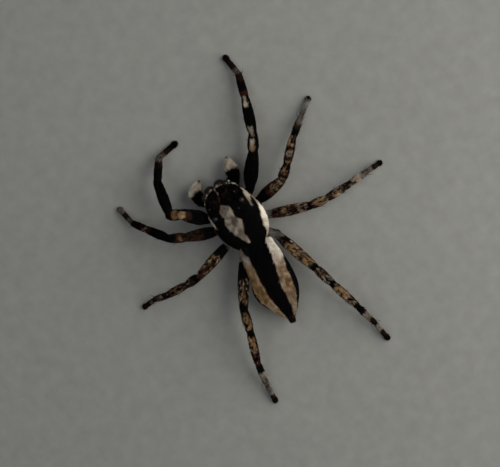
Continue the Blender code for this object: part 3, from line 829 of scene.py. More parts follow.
def dress_trunk(p, region):
    """Markings, bareness and lie of the hair on one region of the trunk."""
    tailward = (math.sin(ABDOMEN_YAW), math.cos(ABDOMEN_YAW), 0.0)
    if region in ("carapace", "face", "socket"):
        marks, bare = head_marks(p)
        down = grow(-p[:, 1], 3.5, 3.7)
        lie = np.stack([0.55 * p[:, 0] * (1 - down), 1 - down, -0.15 - down], axis=1)
        return marks, 0.9 if region == "socket" else bare, lie
    if region == "abdomen":
        return abdomen_marks(p), 0.0, tailward
    tone, bare = TRUNK_TONES[region]
    return (tone_arrays(len(p), tone), bare,
            tailward if region == "spinnerets" else BACKWARD)


def dress(points, normals, forms, labels, ends):
    """Markings, lie of the hair and surface coordinates at every skin corner."""
    count = len(points)
    marks = tone_arrays(count, "black")
    bare = np.zeros(count)
    lie = np.tile(BACKWARD, (count, 1))
    along = points[:, 1].copy()
    around = np.arctan2(points[:, 0], points[:, 2] - TRUNK_MIDDLE_Z)
    girth = np.full(count, 1.0)
    for number, region in enumerate(forms.regions):
        here = np.flatnonzero(labels == number)
        if not len(here):
            continue
        p = points[here]
        if region in ends:
            (marks[here], bare[here], lie[here], along[here], around[here],
             girth[here]) = dress_limb(p, region, *ends[region])
        else:
            marks[here], bare[here], lie[here] = dress_trunk(p, region)
        if region == "abdomen":
            x, along[here], z = abdomen_place(p)
            around[here] = np.arctan2(x, z - ABDOMEN_MIDDLE_Z)
    lie -= normals * (lie * normals).sum(axis=1)[:, None]
    lie /= np.maximum(np.linalg.norm(lie, axis=1), 1e-6)[:, None]
    grain = np.stack([around * girth, along, labels * 3.0], axis=1)
    return marks, bare, lie, along, around, grain


def build_skin(sizes):
    """The one skin, with every node of flesh replaced by it."""
    forms = Forms()
    ends = segment_ends()
    add_shield_forms(forms, sizes.coat_depth / MM)
    add_abdomen_forms(forms, sizes.coat_depth / MM)
    add_head_limbs(forms, ends)
    add_leg_forms(forms, ends)
    points, normals, faces = melt(forms, sizes.skin_grid / MM, sizes.skin_passes)
    labels = nearest_regions(forms, points)
    marks, bare, lie, along, around, grain = dress(points, normals, forms, labels, ends)
    points = points + ORIGIN
    points[:, 2] = np.maximum(points[:, 2], LOWEST_SKIN)
    skin = mesh_object("skin", points * MM, faces)
    for name, values in zip(MARK_NAMES, marks.T):
        store(skin.data, name, values)
    for name, values in (("bare", bare), ("lie", lie), ("along", along), ("around", around),
                         ("grain", grain), ("region", labels),
                         ("shade", np.full(len(points), SKIN_SHADE)),
                         ("tip", np.full(len(points), SKIN_TIP))):
        store(skin.data, name, values)
    skin["regions"] = json.dumps(forms.regions)
    return skin


# ---- finishes ----------------------------------------------------------------------------
def new_group(name, inputs, outputs):
    """An empty shader group with named inputs (name, kind, default) and outputs."""
    group = bpy.data.node_groups.new(name, "ShaderNodeTree")
    for label, kind, default in inputs:
        socket = group.interface.new_socket(label, in_out="INPUT", socket_type=kind)
        socket.default_value = default
    for label, kind in outputs:
        group.interface.new_socket(label, in_out="OUTPUT", socket_type=kind)
    return group


class Wiring:
    """Short ways to place and join nodes in a tree."""

    def __init__(self, tree):
        self.tree = tree

    def node(self, kind, **settings):
        """A new node with its settings."""
        made = self.tree.nodes.new(kind)
        for key, value in settings.items():
            setattr(made, key, value)
        return made

    def link(self, source, target):
        """Join an output to an input."""
        self.tree.links.new(source, target)

    def feed(self, socket, value):
        """Give a socket a number, a colour or another socket."""
        if isinstance(value, bpy.types.NodeSocket):
            self.link(value, socket)
        else:
            socket.default_value = value

    def value(self, name):
        """A number stored on the mesh."""
        return self.node("ShaderNodeAttribute", attribute_name=name).outputs["Fac"]

    def direction(self, name):
        """A direction or place stored on the mesh."""
        return self.node("ShaderNodeAttribute", attribute_name=name).outputs["Vector"]

    def place(self):
        """A place on the object itself."""
        return self.node("ShaderNodeTexCoord").outputs["Object"]

    def math(self, operation, a, b=0.0, c=0.0, clamp=False):
        """A sum of two or three numbers or sockets."""
        made = self.node("ShaderNodeMath", operation=operation, use_clamp=clamp)
        for socket, value in zip(made.inputs, (a, b, c)):
            self.feed(socket, value)
        return made.outputs[0]

    def times(self, a, b):
        """A product of two numbers or sockets."""
        return self.math("MULTIPLY", a, b)

    def scaled(self, value, factor, offset, clamp=False):
        """A number or socket times a factor, plus an offset."""
        return self.math("MULTIPLY_ADD", value, factor, offset, clamp)

    def blend(self, factor, a, b, mode="MIX"):
        """Two colours, the sockets 6 and 7, mixed by a factor into the colour output 2."""
        made = self.node("ShaderNodeMix", data_type="RGBA", blend_type=mode)
        self.feed(made.inputs["Factor"], factor)
        self.feed(made.inputs[6], a)
        self.feed(made.inputs[7], b)
        return made.outputs[2]

    def grey(self, value):
        """A grey of a brightness."""
        made = self.node("ShaderNodeCombineXYZ")
        for socket in made.inputs:
            self.feed(socket, value)
        return made.outputs[0]

    def step(self, value, low, high, to_low=0.0, to_high=1.0):
        """An eased step from one number to another."""
        made = self.node("ShaderNodeMapRange", interpolation_type="SMOOTHSTEP")
        self.feed(made.inputs["Value"], value)
        for label, setting in (("From Min", low), ("From Max", high), ("To Min", to_low),
                               ("To Max", to_high)):
            self.feed(made.inputs[label], setting)
        return made.outputs["Result"]

    def noise(self, where, scale, detail=2.0, stretch=None):
        """Noise of 0 to 1 at a place, which may be stretched first."""
        if stretch:
            made = self.node("ShaderNodeVectorMath", operation="MULTIPLY")
            self.feed(made.inputs[0], where)
            made.inputs[1].default_value = stretch
            where = made.outputs[0]
        made = self.node("ShaderNodeTexNoise")
        self.feed(made.inputs["Vector"], where)
        made.inputs["Scale"].default_value = scale
        made.inputs["Detail"].default_value = detail
        return made.outputs["Fac"]

    def bump(self, shader, height, strength, distance):
        """Relief on a shader from a height."""
        made = self.node("ShaderNodeBump")
        made.inputs["Strength"].default_value = strength
        made.inputs["Distance"].default_value = distance
        self.link(height, made.inputs["Height"])
        self.link(made.outputs["Normal"], shader.inputs["Normal"])


def marks_group(colours):
    """Group that turns the markings' attributes into colour, roughness and hair relief."""
    group = new_group(
        "spider_marks",
        (("Black", "NodeSocketColor", rgba(colours.black)),
         ("Brown", "NodeSocketColor", rgba(colours.brown)),
         ("Rust", "NodeSocketColor", rgba(colours.rust)),
         ("White hair", "NodeSocketColor", rgba(colours.white)),
         ("Tan hair", "NodeSocketColor", rgba(colours.tan)),
         ("Raggedness", "NodeSocketFloat", 0.5)),
        (("Color", "NodeSocketColor"), ("Roughness", "NodeSocketFloat"),
         ("Height", "NodeSocketFloat")))
    w = Wiring(group)
    given = w.node("NodeGroupInput").outputs
    out = w.node("NodeGroupOutput").inputs
    place = w.place()
    streak = w.noise(w.direction("grain"), 1.0, 2.0, (22.0, 5.0, 1.0))
    fleck = w.noise(place, 9000.0, 2.0)
    cloud = w.noise(place, 2200.0, 3.0)
    ragged = w.times(w.math("SUBTRACT", fleck, 0.5), given["Raggedness"])
    pale = w.step(w.math("ADD", w.value("pale"), ragged), 0.30, 0.62)
    shell = w.blend(w.value("rust"), given["Brown"], given["Rust"])
    dark = w.math("ADD", w.value("dark"), w.scaled(cloud, 0.5, -0.25), clamp=True)
    shell = w.blend(dark, shell, given["Black"])
    warm = w.math("ADD", w.value("warm"), w.scaled(cloud, 0.9, -0.45), clamp=True)
    hair = w.blend(warm, given["White hair"], given["Tan hair"])
    worn = w.scaled(cloud, 0.5, -0.25)
    worn = w.times(w.math("ADD", w.value("dark"), worn, clamp=True), 0.92)
    hair = w.blend(1.0, hair, w.grey(w.math("SUBTRACT", 1.0, worn)), "MULTIPLY")
    colour = w.blend(pale, shell, hair)
    light = w.scaled(w.value("shade"), 0.50, 0.75)
    light = w.times(light, w.scaled(w.value("tip"), 0.45, 0.80))
    light = w.times(light, w.scaled(streak, 0.7, 0.68))
    colour = w.blend(1.0, colour, w.grey(light), "MULTIPLY")
    w.link(colour, out["Color"])
    rough = w.step(pale, 0.0, 1.0, 0.60, 0.80)
    rough = w.scaled(w.value("bare"), -0.24, rough)
    rough = w.scaled(w.math("SUBTRACT", streak, 0.5), 0.25, rough, clamp=True)
    w.link(rough, out["Roughness"])
    covered = w.math("SUBTRACT", 1.0, w.times(w.value("bare"), 0.8))
    height = w.times(w.math("ADD", streak, w.times(fleck, 0.4)), covered)
    w.link(height, out["Height"])
    return group


def rgba(colour):
    """A solid colour with its opacity."""
    return (*colour, 1.0)


def principled(name):
    """A new material's wiring and its Principled shader."""
    made = bpy.data.materials.new(name)
    made.use_nodes = True
    shader = made.node_tree.nodes["Principled BSDF"]
    return made, Wiring(made.node_tree), shader


def marked_material(name, colours, relief, ragged):
    """A finish that carries the markings: skin or hair."""
    group = bpy.data.node_groups.get("spider_marks") or marks_group(colours)
    made, w, shader = principled(name)
    marks = w.node("ShaderNodeGroup", node_tree=group)
    marks.inputs["Raggedness"].default_value = ragged
    w.link(marks.outputs["Color"], shader.inputs["Base Color"])
    w.link(marks.outputs["Roughness"], shader.inputs["Roughness"])
    if relief:
        w.bump(shader, marks.outputs["Height"], 0.8, relief)
    shader.inputs["Specular IOR Level"].default_value = 0.045
    return made


def lens_material(colours):
    """Deep glassy black with a faint brown and green depth."""
    made, w, shader = principled("lens")
    place = w.place()
    depth = w.noise(place, 1800.0, 2.0)
    colour = w.blend(w.step(depth, 0.35, 0.7), rgba(colours.lens), (0.020, 0.010, 0.006, 1.0))
    w.link(colour, shader.inputs["Base Color"])
    w.link(w.step(depth, 0.3, 0.7, 0.04, 0.09), shader.inputs["Roughness"])
    w.bump(shader, w.noise(place, 6000.0), 0.05, 0.004 * MM)
    shader.inputs["Specular IOR Level"].default_value = 0.20
    shader.inputs["Coat Weight"].default_value = 0.15
    shader.inputs["Coat Roughness"].default_value = 0.05
    return made


def horn_material(name, root, tip, roughness):
    """Bristles, claws and fangs: dark at the root, clearer at the tip."""
    made, w, shader = principled(name)
    place = w.place()
    ridges = w.noise(place, 12000.0, 2.0)
    colour = w.blend(w.step(w.value("tip"), 0.2, 1.0), root, tip)
    colour = w.blend(w.times(ridges, 0.6), colour, (0.003, 0.002, 0.002, 1.0))
    w.link(colour, shader.inputs["Base Color"])
    w.link(w.step(ridges, 0.3, 0.7, roughness - 0.08, roughness + 0.10),
           shader.inputs["Roughness"])
    w.bump(shader, ridges, 0.3, 0.004 * MM)
    return made


# ---- coat --------------------------------------------------------------------------------
HAIR_FACES = ((0, 1, 3), (1, 2, 3), (2, 0, 3), (1, 0, 2))    # left, right, ridge, tip
FOOT_TUFT = (5.75, 5.95)            # where the foot's tuft begins and is full, along the leg
SHIELD_COAT_FRONT = -3.5            # where the shield's coat ends ahead, along the body
FACE_COAT_BACK = -2.6               # and where the face's coat ends behind
HAIR_SINK = 0.012                   # how deep a hair's root sits, in millimetres
TUFT_PATCH = 0.003                  # size of one hair's patch on the unwrap
# number of hairs, then what is plain and what is added where the coat is full: length and
# width over the settings', lift off the skin in degrees and sway to the sides in radians
HAIR_STYLES = {
    "shield": (34000, (0.75, 0.35), (1.0, 0.0), (9.0, 9.0), (0.30, 0.0)),
    "face": (20000, (0.72, 0.75), (0.80, -0.15), (20.0, 18.0), (0.35, 0.1)),
    "abdomen": (44000, (0.85, 0.30), (1.0, 0.0), (9.0, 6.0), (0.28, 0.0)),
    "sternum": (3000, (1.0, 0.0), (0.70, 0.0), (22.0, 0.0), (0.30, 0.0)),
    "front leg": (13000, (1.0, 0.25), (0.85, 0.0), (20.0, 22.0), (0.30, 0.3)),
    "leg": (10000, (1.0, 0.25), (0.85, 0.0), (20.0, 22.0), (0.30, 0.3)),
    "palp": (6000, (1.8, -1.1), (0.80, -0.10), (38.0, -18.0), (0.45, 0.0)),
}
SEEDS = {"body": 11, "limbs": 23, "bristles": 5}


class SkinMap:
    """The skin's triangles and attributes, for planting hair."""

    def __init__(self):
        mesh = bpy.data.objects["skin"].data
        points, self.normals, faces = read_mesh(mesh)
        self.points = points / MM
        self.tris = np.concatenate([faces[:, (0, 1, 2)], faces[:, (0, 2, 3)]])
        a, b, c = (self.points[self.tris[:, k]] for k in range(3))
        self.areas = 0.5 * np.linalg.norm(np.cross(b - a, c - a), axis=1)
        self.regions = json.loads(bpy.data.objects["skin"]["regions"])
        self.data = {name: recall(mesh, name) for name in
                     MARK_NAMES + ("bare", "lie", "along", "around", "grain", "region")}

    def plant(self, rng, starts, count, want):
        """Roots on the regions whose names start so; want is a weight per skin corner."""
        numbers = [k for k, name in enumerate(self.regions) if name.startswith(starts)]
        near = self.tris[:, 0]
        weight = self.areas * np.isin(self.data["region"][near], numbers) * want[near]
        total = np.cumsum(weight)
        picks = np.searchsorted(total, rng.random(count) * total[-1])
        mix = rng.dirichlet((1.0, 1.0, 1.0), count)
        corners = self.tris[picks]

        def at(values):
            """Readings at the roots, mixed from their triangles' corners."""
            if values.ndim == 1:
                return (values[corners] * mix).sum(axis=1)
            return (values[corners] * mix[:, :, None]).sum(axis=1)

        roots = {name: at(values) for name, values in self.data.items()}
        for name in ("around", "region"):
            roots[name] = self.data[name][corners[:, 0]]
        roots["point"] = at(self.points)
        roots["normal"] = unit(at(self.normals))
        return roots


def unit(vectors):
    """Directions of length 1."""
    return vectors / np.maximum(np.linalg.norm(vectors, axis=1), 1e-9)[:, None]


def grow_coat(name, roots, rng, length, width, lift, sway, material):
    """One piece of coat: a flat four-sided spike at every root.

    length, width, lift (degrees off the skin) and sway are arrays, lengths in millimetres.
    """
    count = len(roots["point"])
    normal = roots["normal"]
    lie = roots["lie"] - normal * (roots["lie"] * normal).sum(axis=1)[:, None]
    lie = unit(lie + 1e-6)
    side = np.cross(normal, lie)
    turn = rng.normal(0.0, sway, count)[:, None]
    flow = lie * np.cos(turn) + side * np.sin(turn)
    side = np.cross(normal, flow)
    raised = np.radians(lift * (0.5 + rng.random(count)))[:, None]
    along = flow * np.cos(raised) + normal * np.sin(raised)
    reach = (length * (0.65 + 0.7 * rng.random(count)))[:, None]
    wide = (width * (0.75 + 0.5 * rng.random(count)))[:, None]
    base = roots["point"] - normal * HAIR_SINK
    ridge = base + along * reach * 0.30 + normal * wide * 0.55
    left = base - side * wide * 0.5
    right = base + side * wide * 0.5
    tip = base + along * reach - normal * reach * 0.10
    points = np.stack([left, right, ridge, tip], axis=1).reshape(-1, 3)
    points[:, 2] = np.maximum(points[:, 2], LOWEST_HAIR)
    faces = (np.arange(count)[:, None, None] * 4 + np.array(HAIR_FACES)).reshape(-1, 3)
    piece = mesh_object(name, points * MM, faces, smooth=False)
    mesh = piece.data
    for key in MARK_NAMES + ("bare", "grain"):
        store(mesh, key, np.repeat(roots[key], 4, axis=0))
    store(mesh, "shade", np.repeat(rng.random(count), 4))
    store(mesh, "tip", np.tile((0.0, 0.0, 0.35, 1.0), count))
    unwrap_coat(mesh, roots, faces)
    mesh.materials.append(material)
    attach(piece, "root")


class Planter:
    """Grows one piece of coat after another from the skin, by one run of chance."""

    def __init__(self, part, length, width, material):
        self.skin = SkinMap()
        self.rng = np.random.default_rng(SEEDS[part])
        self.length = length / MM
        self.width = width / MM
        self.pale = grow(self.skin.data["pale"], 0.2, 0.8)
        self.material = material

    def piece(self, name, style, starts, want, full, slim=lambda roots: 1.0):
        """A piece of a style; full and slim say how full and slim it is at each root."""
        count, *shape = HAIR_STYLES[style]
        roots = self.skin.plant(self.rng, starts, count, want)
        fullness = full(roots) * np.ones(count)
        length, width, lift, sway = (plain + added * fullness for plain, added in shape)
        grow_coat(name, roots, self.rng, self.length * slim(roots) * length,
                  self.width * slim(roots) * width, lift, sway, self.material)


def paleness(roots):
    """How pale the marking is at each root, from 0."""
    return roots["pale"]


def fringe(roots):
    """Where the face's hairs hang long, over the front below the lenses."""
    return (grow(-(roots["point"][:, 1] - ORIGIN[1]), 3.50, 3.62)
            * (1 - grow(roots["point"][:, 2], 0.92, 1.02)))


def unwrap_coat(mesh, roots, faces):
    """Map each hair to a small patch at its root's place, laid out by region, place around and
    place along.
    """
    regions = np.unique(roots["region"])
    column = np.searchsorted(regions, roots["region"])
    along = roots["along"]
    low, high = along.min(), along.max()
    u = (column + 0.03 + 0.94 * (roots["around"] + np.pi) / (2 * np.pi)) / len(regions)
    v = 0.01 + 0.97 * (along - low) / max(high - low, 1e-6)
    layer = mesh.uv_layers.new(name="OFBake")
    offsets = np.array(((-0.5, 0.0), (0.5, 0.0), (0.0, 0.3), (0.0, 1.0))) * TUFT_PATCH
    corner = faces.ravel()
    uv = np.stack([u, v], axis=1)[corner // 4] + offsets[corner % 4]
    layer.data.foreach_set("uv", uv.astype(np.float32).ravel())


# ---- lenses, bristles, claws and fangs ---------------------------------------------------
BRISTLE_RADIUS = 0.017
CLAW = (0.13, 0.018)                # length and radius at the root, in millimetres
FANG = (0.28, 0.055)
# segment, place along it, angle round it from its top in degrees
BRISTLES = ((1, 0.42, 0), (1, 0.62, 12), (1, 0.80, -35), (1, 0.84, 35), (2, 0.55, 80),
            (2, 0.55, -80), (3, 0.22, 150), (3, 0.22, -150), (3, 0.52, 148), (3, 0.52, -148),
            (3, 0.80, 150), (3, 0.80, -150), (3, 0.40, 82), (3, 0.62, -82), (4, 0.18, 140),
            (4, 0.18, -140), (4, 0.58, 140), (4, 0.58, -140), (4, 0.92, 75), (4, 0.92, -75))


def build_lens(node, material):
    """One domed lens standing in its socket."""
    centre, axis, radius, bulge = lens_place(node)
    sides, bands = 40, 16
    ring = circle(sides, *side_and_up(axis))
    rings = [centre - axis * 0.06 + 0.9 * radius * ring]
    for k in range(bands):
        rise = 0.5 * np.pi * k / (bands - 0.7)
        rings.append(centre + axis * bulge * math.sin(rise) + radius * math.cos(rise) * ring)
    points = np.concatenate(rings + [rings[0].mean(axis=0)[None], rings[-1].mean(axis=0)[None]])
    lens = mesh_object("lens_" + node[4:], (points + ORIGIN) * MM,
                       tube_faces(len(rings), sides))
    lens.data.materials.append(material)
    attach(lens, "root")
    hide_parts(node)


def thorns(name, thorn_list, material, sides=7, bands=7):
    """Joined curved cones; each is a root, direction, bend, length and radius."""
    points, faces, tips = [], [], []
    for root, direction, bend, length, radius in thorn_list:
        ring = circle(sides, *side_and_up(direction))
        first = len(points)
        for k in range(bands):
            t = k / bands
            centre = root + direction * length * t + bend * length * t * t
            points += list(centre + radius * (1 - t) ** 0.8 * ring)
            tips += [t] * sides
        points += [root, root + direction * length + bend * length]
        tips += [0.0, 1.0]
        faces += tube_faces(bands, sides, first)
    points = np.array(points) + ORIGIN
    points[:, 2] = np.maximum(points[:, 2], 0.0)
    piece = mesh_object(name, points * MM, faces)
    store(piece.data, "tip", np.array(tips))
    piece.data.materials.append(material)
    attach(piece, "root")


def build_bristles(length, material):
    """Stout bristles in rows along femur, patella, tibia and metatarsus."""
    rng = np.random.default_rng(SEEDS["bristles"])
    for side in SIDES:
        made = []
        for pair in HIPS:
            joints = leg_joints(pair, side)
            for index, place, angle in BRISTLES:
                start, end = joints[index], joints[index + 1]
                direction, level, upright = stretch_axes(start, end)[1:]
                angle = math.radians(angle + rng.normal(0, 6))
                out = math.sin(angle) * level + math.cos(angle) * upright
                root = start + (end - start) * place + out * LEG_SKIN[pair][index][1] * 0.78
                lean = direction * 0.75 + out * 0.66
                size = length * (0.75 + 0.4 * rng.random()) * (1.0 if index > 2 else 0.8)
                made.append((root, lean, direction * 0.18 - out * 0.10, size,
                             BRISTLE_RADIUS))
        thorns("bristles_" + side, made, material)


def build_claws(material):
    """Two small hooked claws at the end of every foot."""
    made = []
    for side in SIDES:
        for pair in HIPS:
            wrist, foot = leg_joints(pair, side)[-2:]
            direction, level, upright = stretch_axes(wrist, foot)[1:]
            for sign in SIDES.values():
                root = foot + direction * 0.03 + level * sign * 0.035 + upright * 0.02
                made.append((root, direction * 0.8 + upright * 0.35, -upright * 0.75, *CLAW))
    thorns("claws", made, material)


def build_fangs(material):
    """Two short fangs folded inward under the chelicerae."""
    made = []
    for sign in SIDES.values():
        root = np.array((sign * 0.27, -3.62, 0.27))
        made.append((root, np.array((-sign * 0.75, 0.25, -0.30)), np.array((0.0, 0.35, 0.0)),
                     *FANG))
    thorns("fangs", made, material, 14, 10)


# ---- stage -------------------------------------------------------------------------------
VIEW_TILT = math.radians(13.9)       # camera's lean from straight above
VIEW_TURN = math.radians(172.2)      # towards which side it leans
VIEW_ROLL = math.radians(36.5)
VIEW_WIDTH = 26.25                   # seen across the camera's view, in millimetres
CAMERA_DISTANCE = 250.0
SENSOR_WIDTH = 36.0
AIM = (-0.625, 0.499)                # middle of the view from the body's origin, in millimetres
FLOOR_REACH = 1.0                    # from the middle to the floor's edges, in metres
SKY_BRIGHTNESS = 0.13
# name, place to the camera's right, top and back, distance and size in metres, watts, colour
LIGHTS = (("key_light", (0.78, 0.18, 0.60), 0.095, 0.125, 0.120, (1.0, 0.97, 0.92)),
          ("fill_light", (-0.50, -0.20, 0.84), 0.55, 0.45, 0.30, (0.92, 0.96, 1.0)))


def camera_axes():
    """Directions to the camera's right, its top and back towards it."""
    lean = np.array((math.cos(VIEW_TURN), math.sin(VIEW_TURN), 0.0))
    up = np.array((0.0, 0.0, 1.0))
    first = math.cos(VIEW_TILT) * lean - math.sin(VIEW_TILT) * up
    second = np.cross(up, lean)
    right2 = np.array((-math.cos(VIEW_ROLL), math.sin(VIEW_ROLL)))
    down2 = np.array((math.sin(VIEW_ROLL), math.cos(VIEW_ROLL)))
    flat = lean[:2], second[:2]
    right = (right2 @ flat[0]) * first + (right2 @ flat[1]) * second
    top = -((down2 @ flat[0]) * first + (down2 @ flat[1]) * second)
    return right, top, np.cross(right, top)


def place_facing(thing, position, right, top, back):
    """Stand an object at a place with its own axes along three directions."""
    for row in range(3):
        thing.matrix_world[row][0] = right[row]
        thing.matrix_world[row][1] = top[row]
        thing.matrix_world[row][2] = back[row]
        thing.matrix_world[row][3] = position[row]


def add_light(name, where, size, power, colour):
    """A round soft light at a place, aimed at the middle."""
    data = bpy.data.lights.new(name, "AREA")
    data.shape = "DISK"
    data.size = size
    data.energy = power
    data.color = colour
    lamp = bpy.data.objects.new(name, data)
    lamp.location = where
    lamp.rotation_euler = Vector(where).to_track_quat("Z", "Y").to_euler()
    bpy.context.scene.collection.objects.link(lamp)


def floor_material(colours):
    """Matt paint with faint lumps and a slight unevenness of tone."""
    made, w, shader = principled("painted_floor")
    place = w.place()
    lumps = w.noise(place, 330.0, 3.0)
    cloud = w.noise(place, 40.0, 2.0)
    speckle = w.noise(place, 1500.0, 4.0)
    tone = w.scaled(cloud, 0.10, w.scaled(lumps, 0.05, 0.865))
    tone = w.scaled(speckle, 0.30, w.math("SUBTRACT", tone, 0.09))
    colour = w.blend(1.0, rgba(colours.floor), w.grey(tone), "MULTIPLY")
    w.link(colour, shader.inputs["Base Color"])
    w.link(w.step(lumps, 0.3, 0.7, 0.86, 0.94), shader.inputs["Roughness"])
    shader.inputs["Specular IOR Level"].default_value = 0.1
    w.bump(shader, lumps, 0.2, 0.3 * MM)
    return made


def build_stage(colours):
    """Floor, soft lights, plain surroundings and the camera."""
    scene = bpy.context.scene
    scene.view_settings.view_transform = "Standard"
    corners = np.array(((-1, -1, 0), (1, -1, 0), (1, 1, 0), (-1, 1, 0))) * FLOOR_REACH
    floor = mesh_object("floor", corners, ((0, 1, 2, 3),))
    floor.data.materials.append(floor_material(colours))
    right, top, back = camera_axes()
    scene.world = scene.world or bpy.data.worlds.new("surroundings")
    scene.world.use_nodes = True
    sky = scene.world.node_tree.nodes.get("Background")
    sky.inputs["Color"].default_value = (0.95, 0.97, 1.0, 1.0)
    sky.inputs["Strength"].default_value = SKY_BRIGHTNESS
    for name, place, distance, *settings in LIGHTS:
        where = place[0] * right + place[1] * top + place[2] * back
        add_light(name, where * distance, *settings)
    data = bpy.data.cameras.new("camera")
    data.sensor_width = SENSOR_WIDTH
    data.lens = SENSOR_WIDTH * CAMERA_DISTANCE / VIEW_WIDTH
    data.clip_start = 0.01
    data.clip_end = 10.0
    camera = bpy.data.objects.new("camera", data)
    scene.collection.objects.link(camera)
    aim = ORIGIN + AIM[0] * right + AIM[1] * top
    place_facing(camera, (aim + back * CAMERA_DISTANCE) * MM, right, top, back)
    scene.camera = camera


# ---- settings and steps -------------------------------------------------------------------
def length_setting(name, description, default):
    """A length in metres that a user can change."""
    return FloatProperty(name=name, description=description, default=default, min=0.0,
                         precision=6, subtype="DISTANCE", unit="LENGTH")


def colour_setting(name, description, default):
    """A colour that a user can change."""
    return FloatVectorProperty(name=name, description=description, default=default, size=3,
                               min=0.0, max=1.0, subtype="COLOR")


class SpiderSizes(bpy.types.PropertyGroup):
    """Sizes of the skin, the hairs and the bristles"""
    coat_depth: length_setting("Coat depth", "How far the skin lies inside the solids",
                               0.05 * MM)
    skin_grid: length_setting("Skin grid", "Size of the skin mesh's faces", 0.037 * MM)
    skin_passes: IntProperty(name="Skin smoothing", description="Times the skin is relaxed",
                             default=4, min=0)
    body_hair: length_setting("Body hair", "Length of the flat hairs of the body", 0.15 * MM)
    leg_hair: length_setting("Leg hair", "Length of the hairs of the legs", 0.15 * MM)
    hair_width: length_setting("Hair width", "Width of a hair at its root", 0.030 * MM)
    bristle: length_setting("Bristle", "Length of the black leg bristles", 0.40 * MM)


class SpiderColours(bpy.types.PropertyGroup):
    """Colours of the shell, the hairs, the lenses and the floor"""
    black: colour_setting("Black", "Darkest shell and hair", (0.0020, 0.0017, 0.0018))
    brown: colour_setting("Brown", "Shell between the markings", (0.085, 0.052, 0.026))
    rust: colour_setting("Rust", "Reddish shell", (0.110, 0.034, 0.022))
    white: colour_setting("White hair", "Pinkish white hairs", (0.97, 0.92, 0.83))
    tan: colour_setting("Tan hair", "Warm tan hairs", (0.54, 0.32, 0.125))
    lens: colour_setting("Lens", "Depth of the eyes", (0.004, 0.005, 0.006))
    floor: colour_setting("Floor", "Matt painted floor", (0.36, 0.362, 0.340))


class SPIDER_OT_stage(bpy.types.Operator):
    """Lay the floor, hang the lights and set up the camera"""
    bl_idname = "spider.stage"
    bl_label = "Stage"

    def execute(self, context):
        build_stage(context.scene.spider_colours)
        return {"FINISHED"}


class SPIDER_OT_skin(bpy.types.Operator):
    """Melt the body and legs into one marked skin"""
    bl_idname = "spider.skin"
    bl_label = "Skin"

    def execute(self, context):
        skin = build_skin(context.scene.spider_sizes)
        skin.data.materials.append(marked_material(
            "spider_skin", context.scene.spider_colours, 0.022 * MM, 0.5))
        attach(skin, "root")
        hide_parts(*[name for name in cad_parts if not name.startswith("eye")])
        return {"FINISHED"}


class SPIDER_OT_eyes(bpy.types.Operator):
    """Set eight glassy lenses in their sockets"""
    bl_idname = "spider.eyes"
    bl_label = "Eyes"

    def execute(self, context):
        material = lens_material(context.scene.spider_colours)
        for side in SIDES:
            for row in EYE_ROWS:
                build_lens("eye_%s_%s" % (row, side), material)
        return {"FINISHED"}


class SPIDER_OT_body_coat(bpy.types.Operator):
    """Plant the flat hairs of the shield, face, underside and abdomen"""
    bl_idname = "spider.body_coat"
    bl_label = "Body coat"

    def execute(self, context):
        sizes = context.scene.spider_sizes
        hair = marked_material("hair", context.scene.spider_colours, 0.0, 0.25)
        coat = Planter("body", sizes.body_hair, sizes.hair_width, hair)
        bare = coat.skin.data["bare"]
        ahead = coat.skin.points[:, 1] - ORIGIN[1]
        coat.piece("coat_shield", "shield", ("carapace", "underside", "stalk"),
                   (1 - np.clip(bare, 0, 1)) * (0.35 + coat.pale)
                   * (ahead > SHIELD_COAT_FRONT), paleness)
        coat.piece("coat_face", "face", ("carapace", "face", "socket", "chelicera", "mouth"),
                   (1 - 0.9 * bare) * (0.4 + coat.pale) * (ahead < FACE_COAT_BACK), fringe)
        coat.piece("coat_abdomen", "abdomen", ("abdomen", "spinnerets"), 0.55 + coat.pale,
                   paleness)
        coat.piece("coat_sternum", "sternum", ("sternum",), np.ones(len(bare)),
                   lambda roots: 0.0)
        return {"FINISHED"}


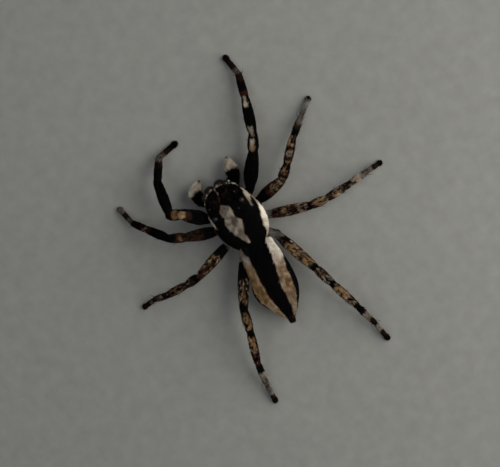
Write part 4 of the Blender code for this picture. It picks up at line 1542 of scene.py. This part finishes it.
class SPIDER_OT_limb_coat(bpy.types.Operator):
    """Plant the hairs of the legs and palps"""
    bl_idname = "spider.limb_coat"
    bl_label = "Limb coat"

    def execute(self, context):
        sizes = context.scene.spider_sizes
        hair = bpy.data.materials.get("hair")
        coat = Planter("limbs", sizes.leg_hair, sizes.hair_width, hair)
        foot = grow(coat.skin.data["along"], *FOOT_TUFT)
        for side in SIDES:
            for pair in HIPS:
                leg = "leg_%d_%s" % (pair, side)
                coat.piece("coat_" + leg, "front leg" if pair == 1 else "leg", (leg,),
                           0.6 + 0.7 * coat.pale + 3.5 * foot,
                           lambda roots: grow(roots["along"], *FOOT_TUFT),
                           lambda roots: 1 - 0.30 * grow(roots["along"], 4.0, 5.6))
            coat.piece("coat_palp_" + side, "palp", ("palp_" + side,),
                       0.8 + 0.3 * coat.pale, lambda roots: grow(roots["along"], 2.4, 3.9))
        return {"FINISHED"}


class SPIDER_OT_bristles(bpy.types.Operator):
    """Add the black leg bristles, foot claws and fangs"""
    bl_idname = "spider.bristles"
    bl_label = "Bristles, claws and fangs"

    def execute(self, context):
        horn = horn_material("horn", (0.012, 0.008, 0.007, 1.0), (0.07, 0.035, 0.02, 1.0), 0.38)
        build_bristles(context.scene.spider_sizes.bristle / MM, horn)
        build_claws(horn)
        build_fangs(horn)
        return {"FINISHED"}


STEPS = (SPIDER_OT_stage, SPIDER_OT_skin, SPIDER_OT_eyes, SPIDER_OT_body_coat,
         SPIDER_OT_limb_coat, SPIDER_OT_bristles)


class SPIDER_PT_panel(bpy.types.Panel):
    """Sizes, colours and the steps that dress the spider"""
    bl_idname = "SPIDER_PT_panel"
    bl_label = "Jumping spider"
    bl_space_type = "VIEW_3D"
    bl_region_type = "UI"
    bl_category = "Spider"

    def draw(self, context):
        for settings in (context.scene.spider_sizes, context.scene.spider_colours):
            box = self.layout.box()
            for key in settings.__annotations__:
                box.prop(settings, key)
        for step in STEPS:
            self.layout.operator(step.bl_idname)


CLASSES = (SpiderSizes, SpiderColours) + STEPS + (SPIDER_PT_panel,)


def register():
    """Add the settings, steps and panel."""
    for cls in CLASSES:
        bpy.utils.register_class(cls)
    bpy.types.Scene.spider_sizes = PointerProperty(type=SpiderSizes)
    bpy.types.Scene.spider_colours = PointerProperty(type=SpiderColours)


def unregister():
    """Take them away again."""
    del bpy.types.Scene.spider_colours
    del bpy.types.Scene.spider_sizes
    for cls in reversed(CLASSES):
        bpy.utils.unregister_class(cls)


def main():
    """Dress the spider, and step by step."""
    register()
    bpy.ops.spider.stage()
    bpy.ops.spider.skin()
    bpy.ops.spider.eyes()
    bpy.ops.spider.body_coat()
    bpy.ops.spider.limb_coat()
    bpy.ops.spider.bristles()


if __name__ == "__main__":
    main()
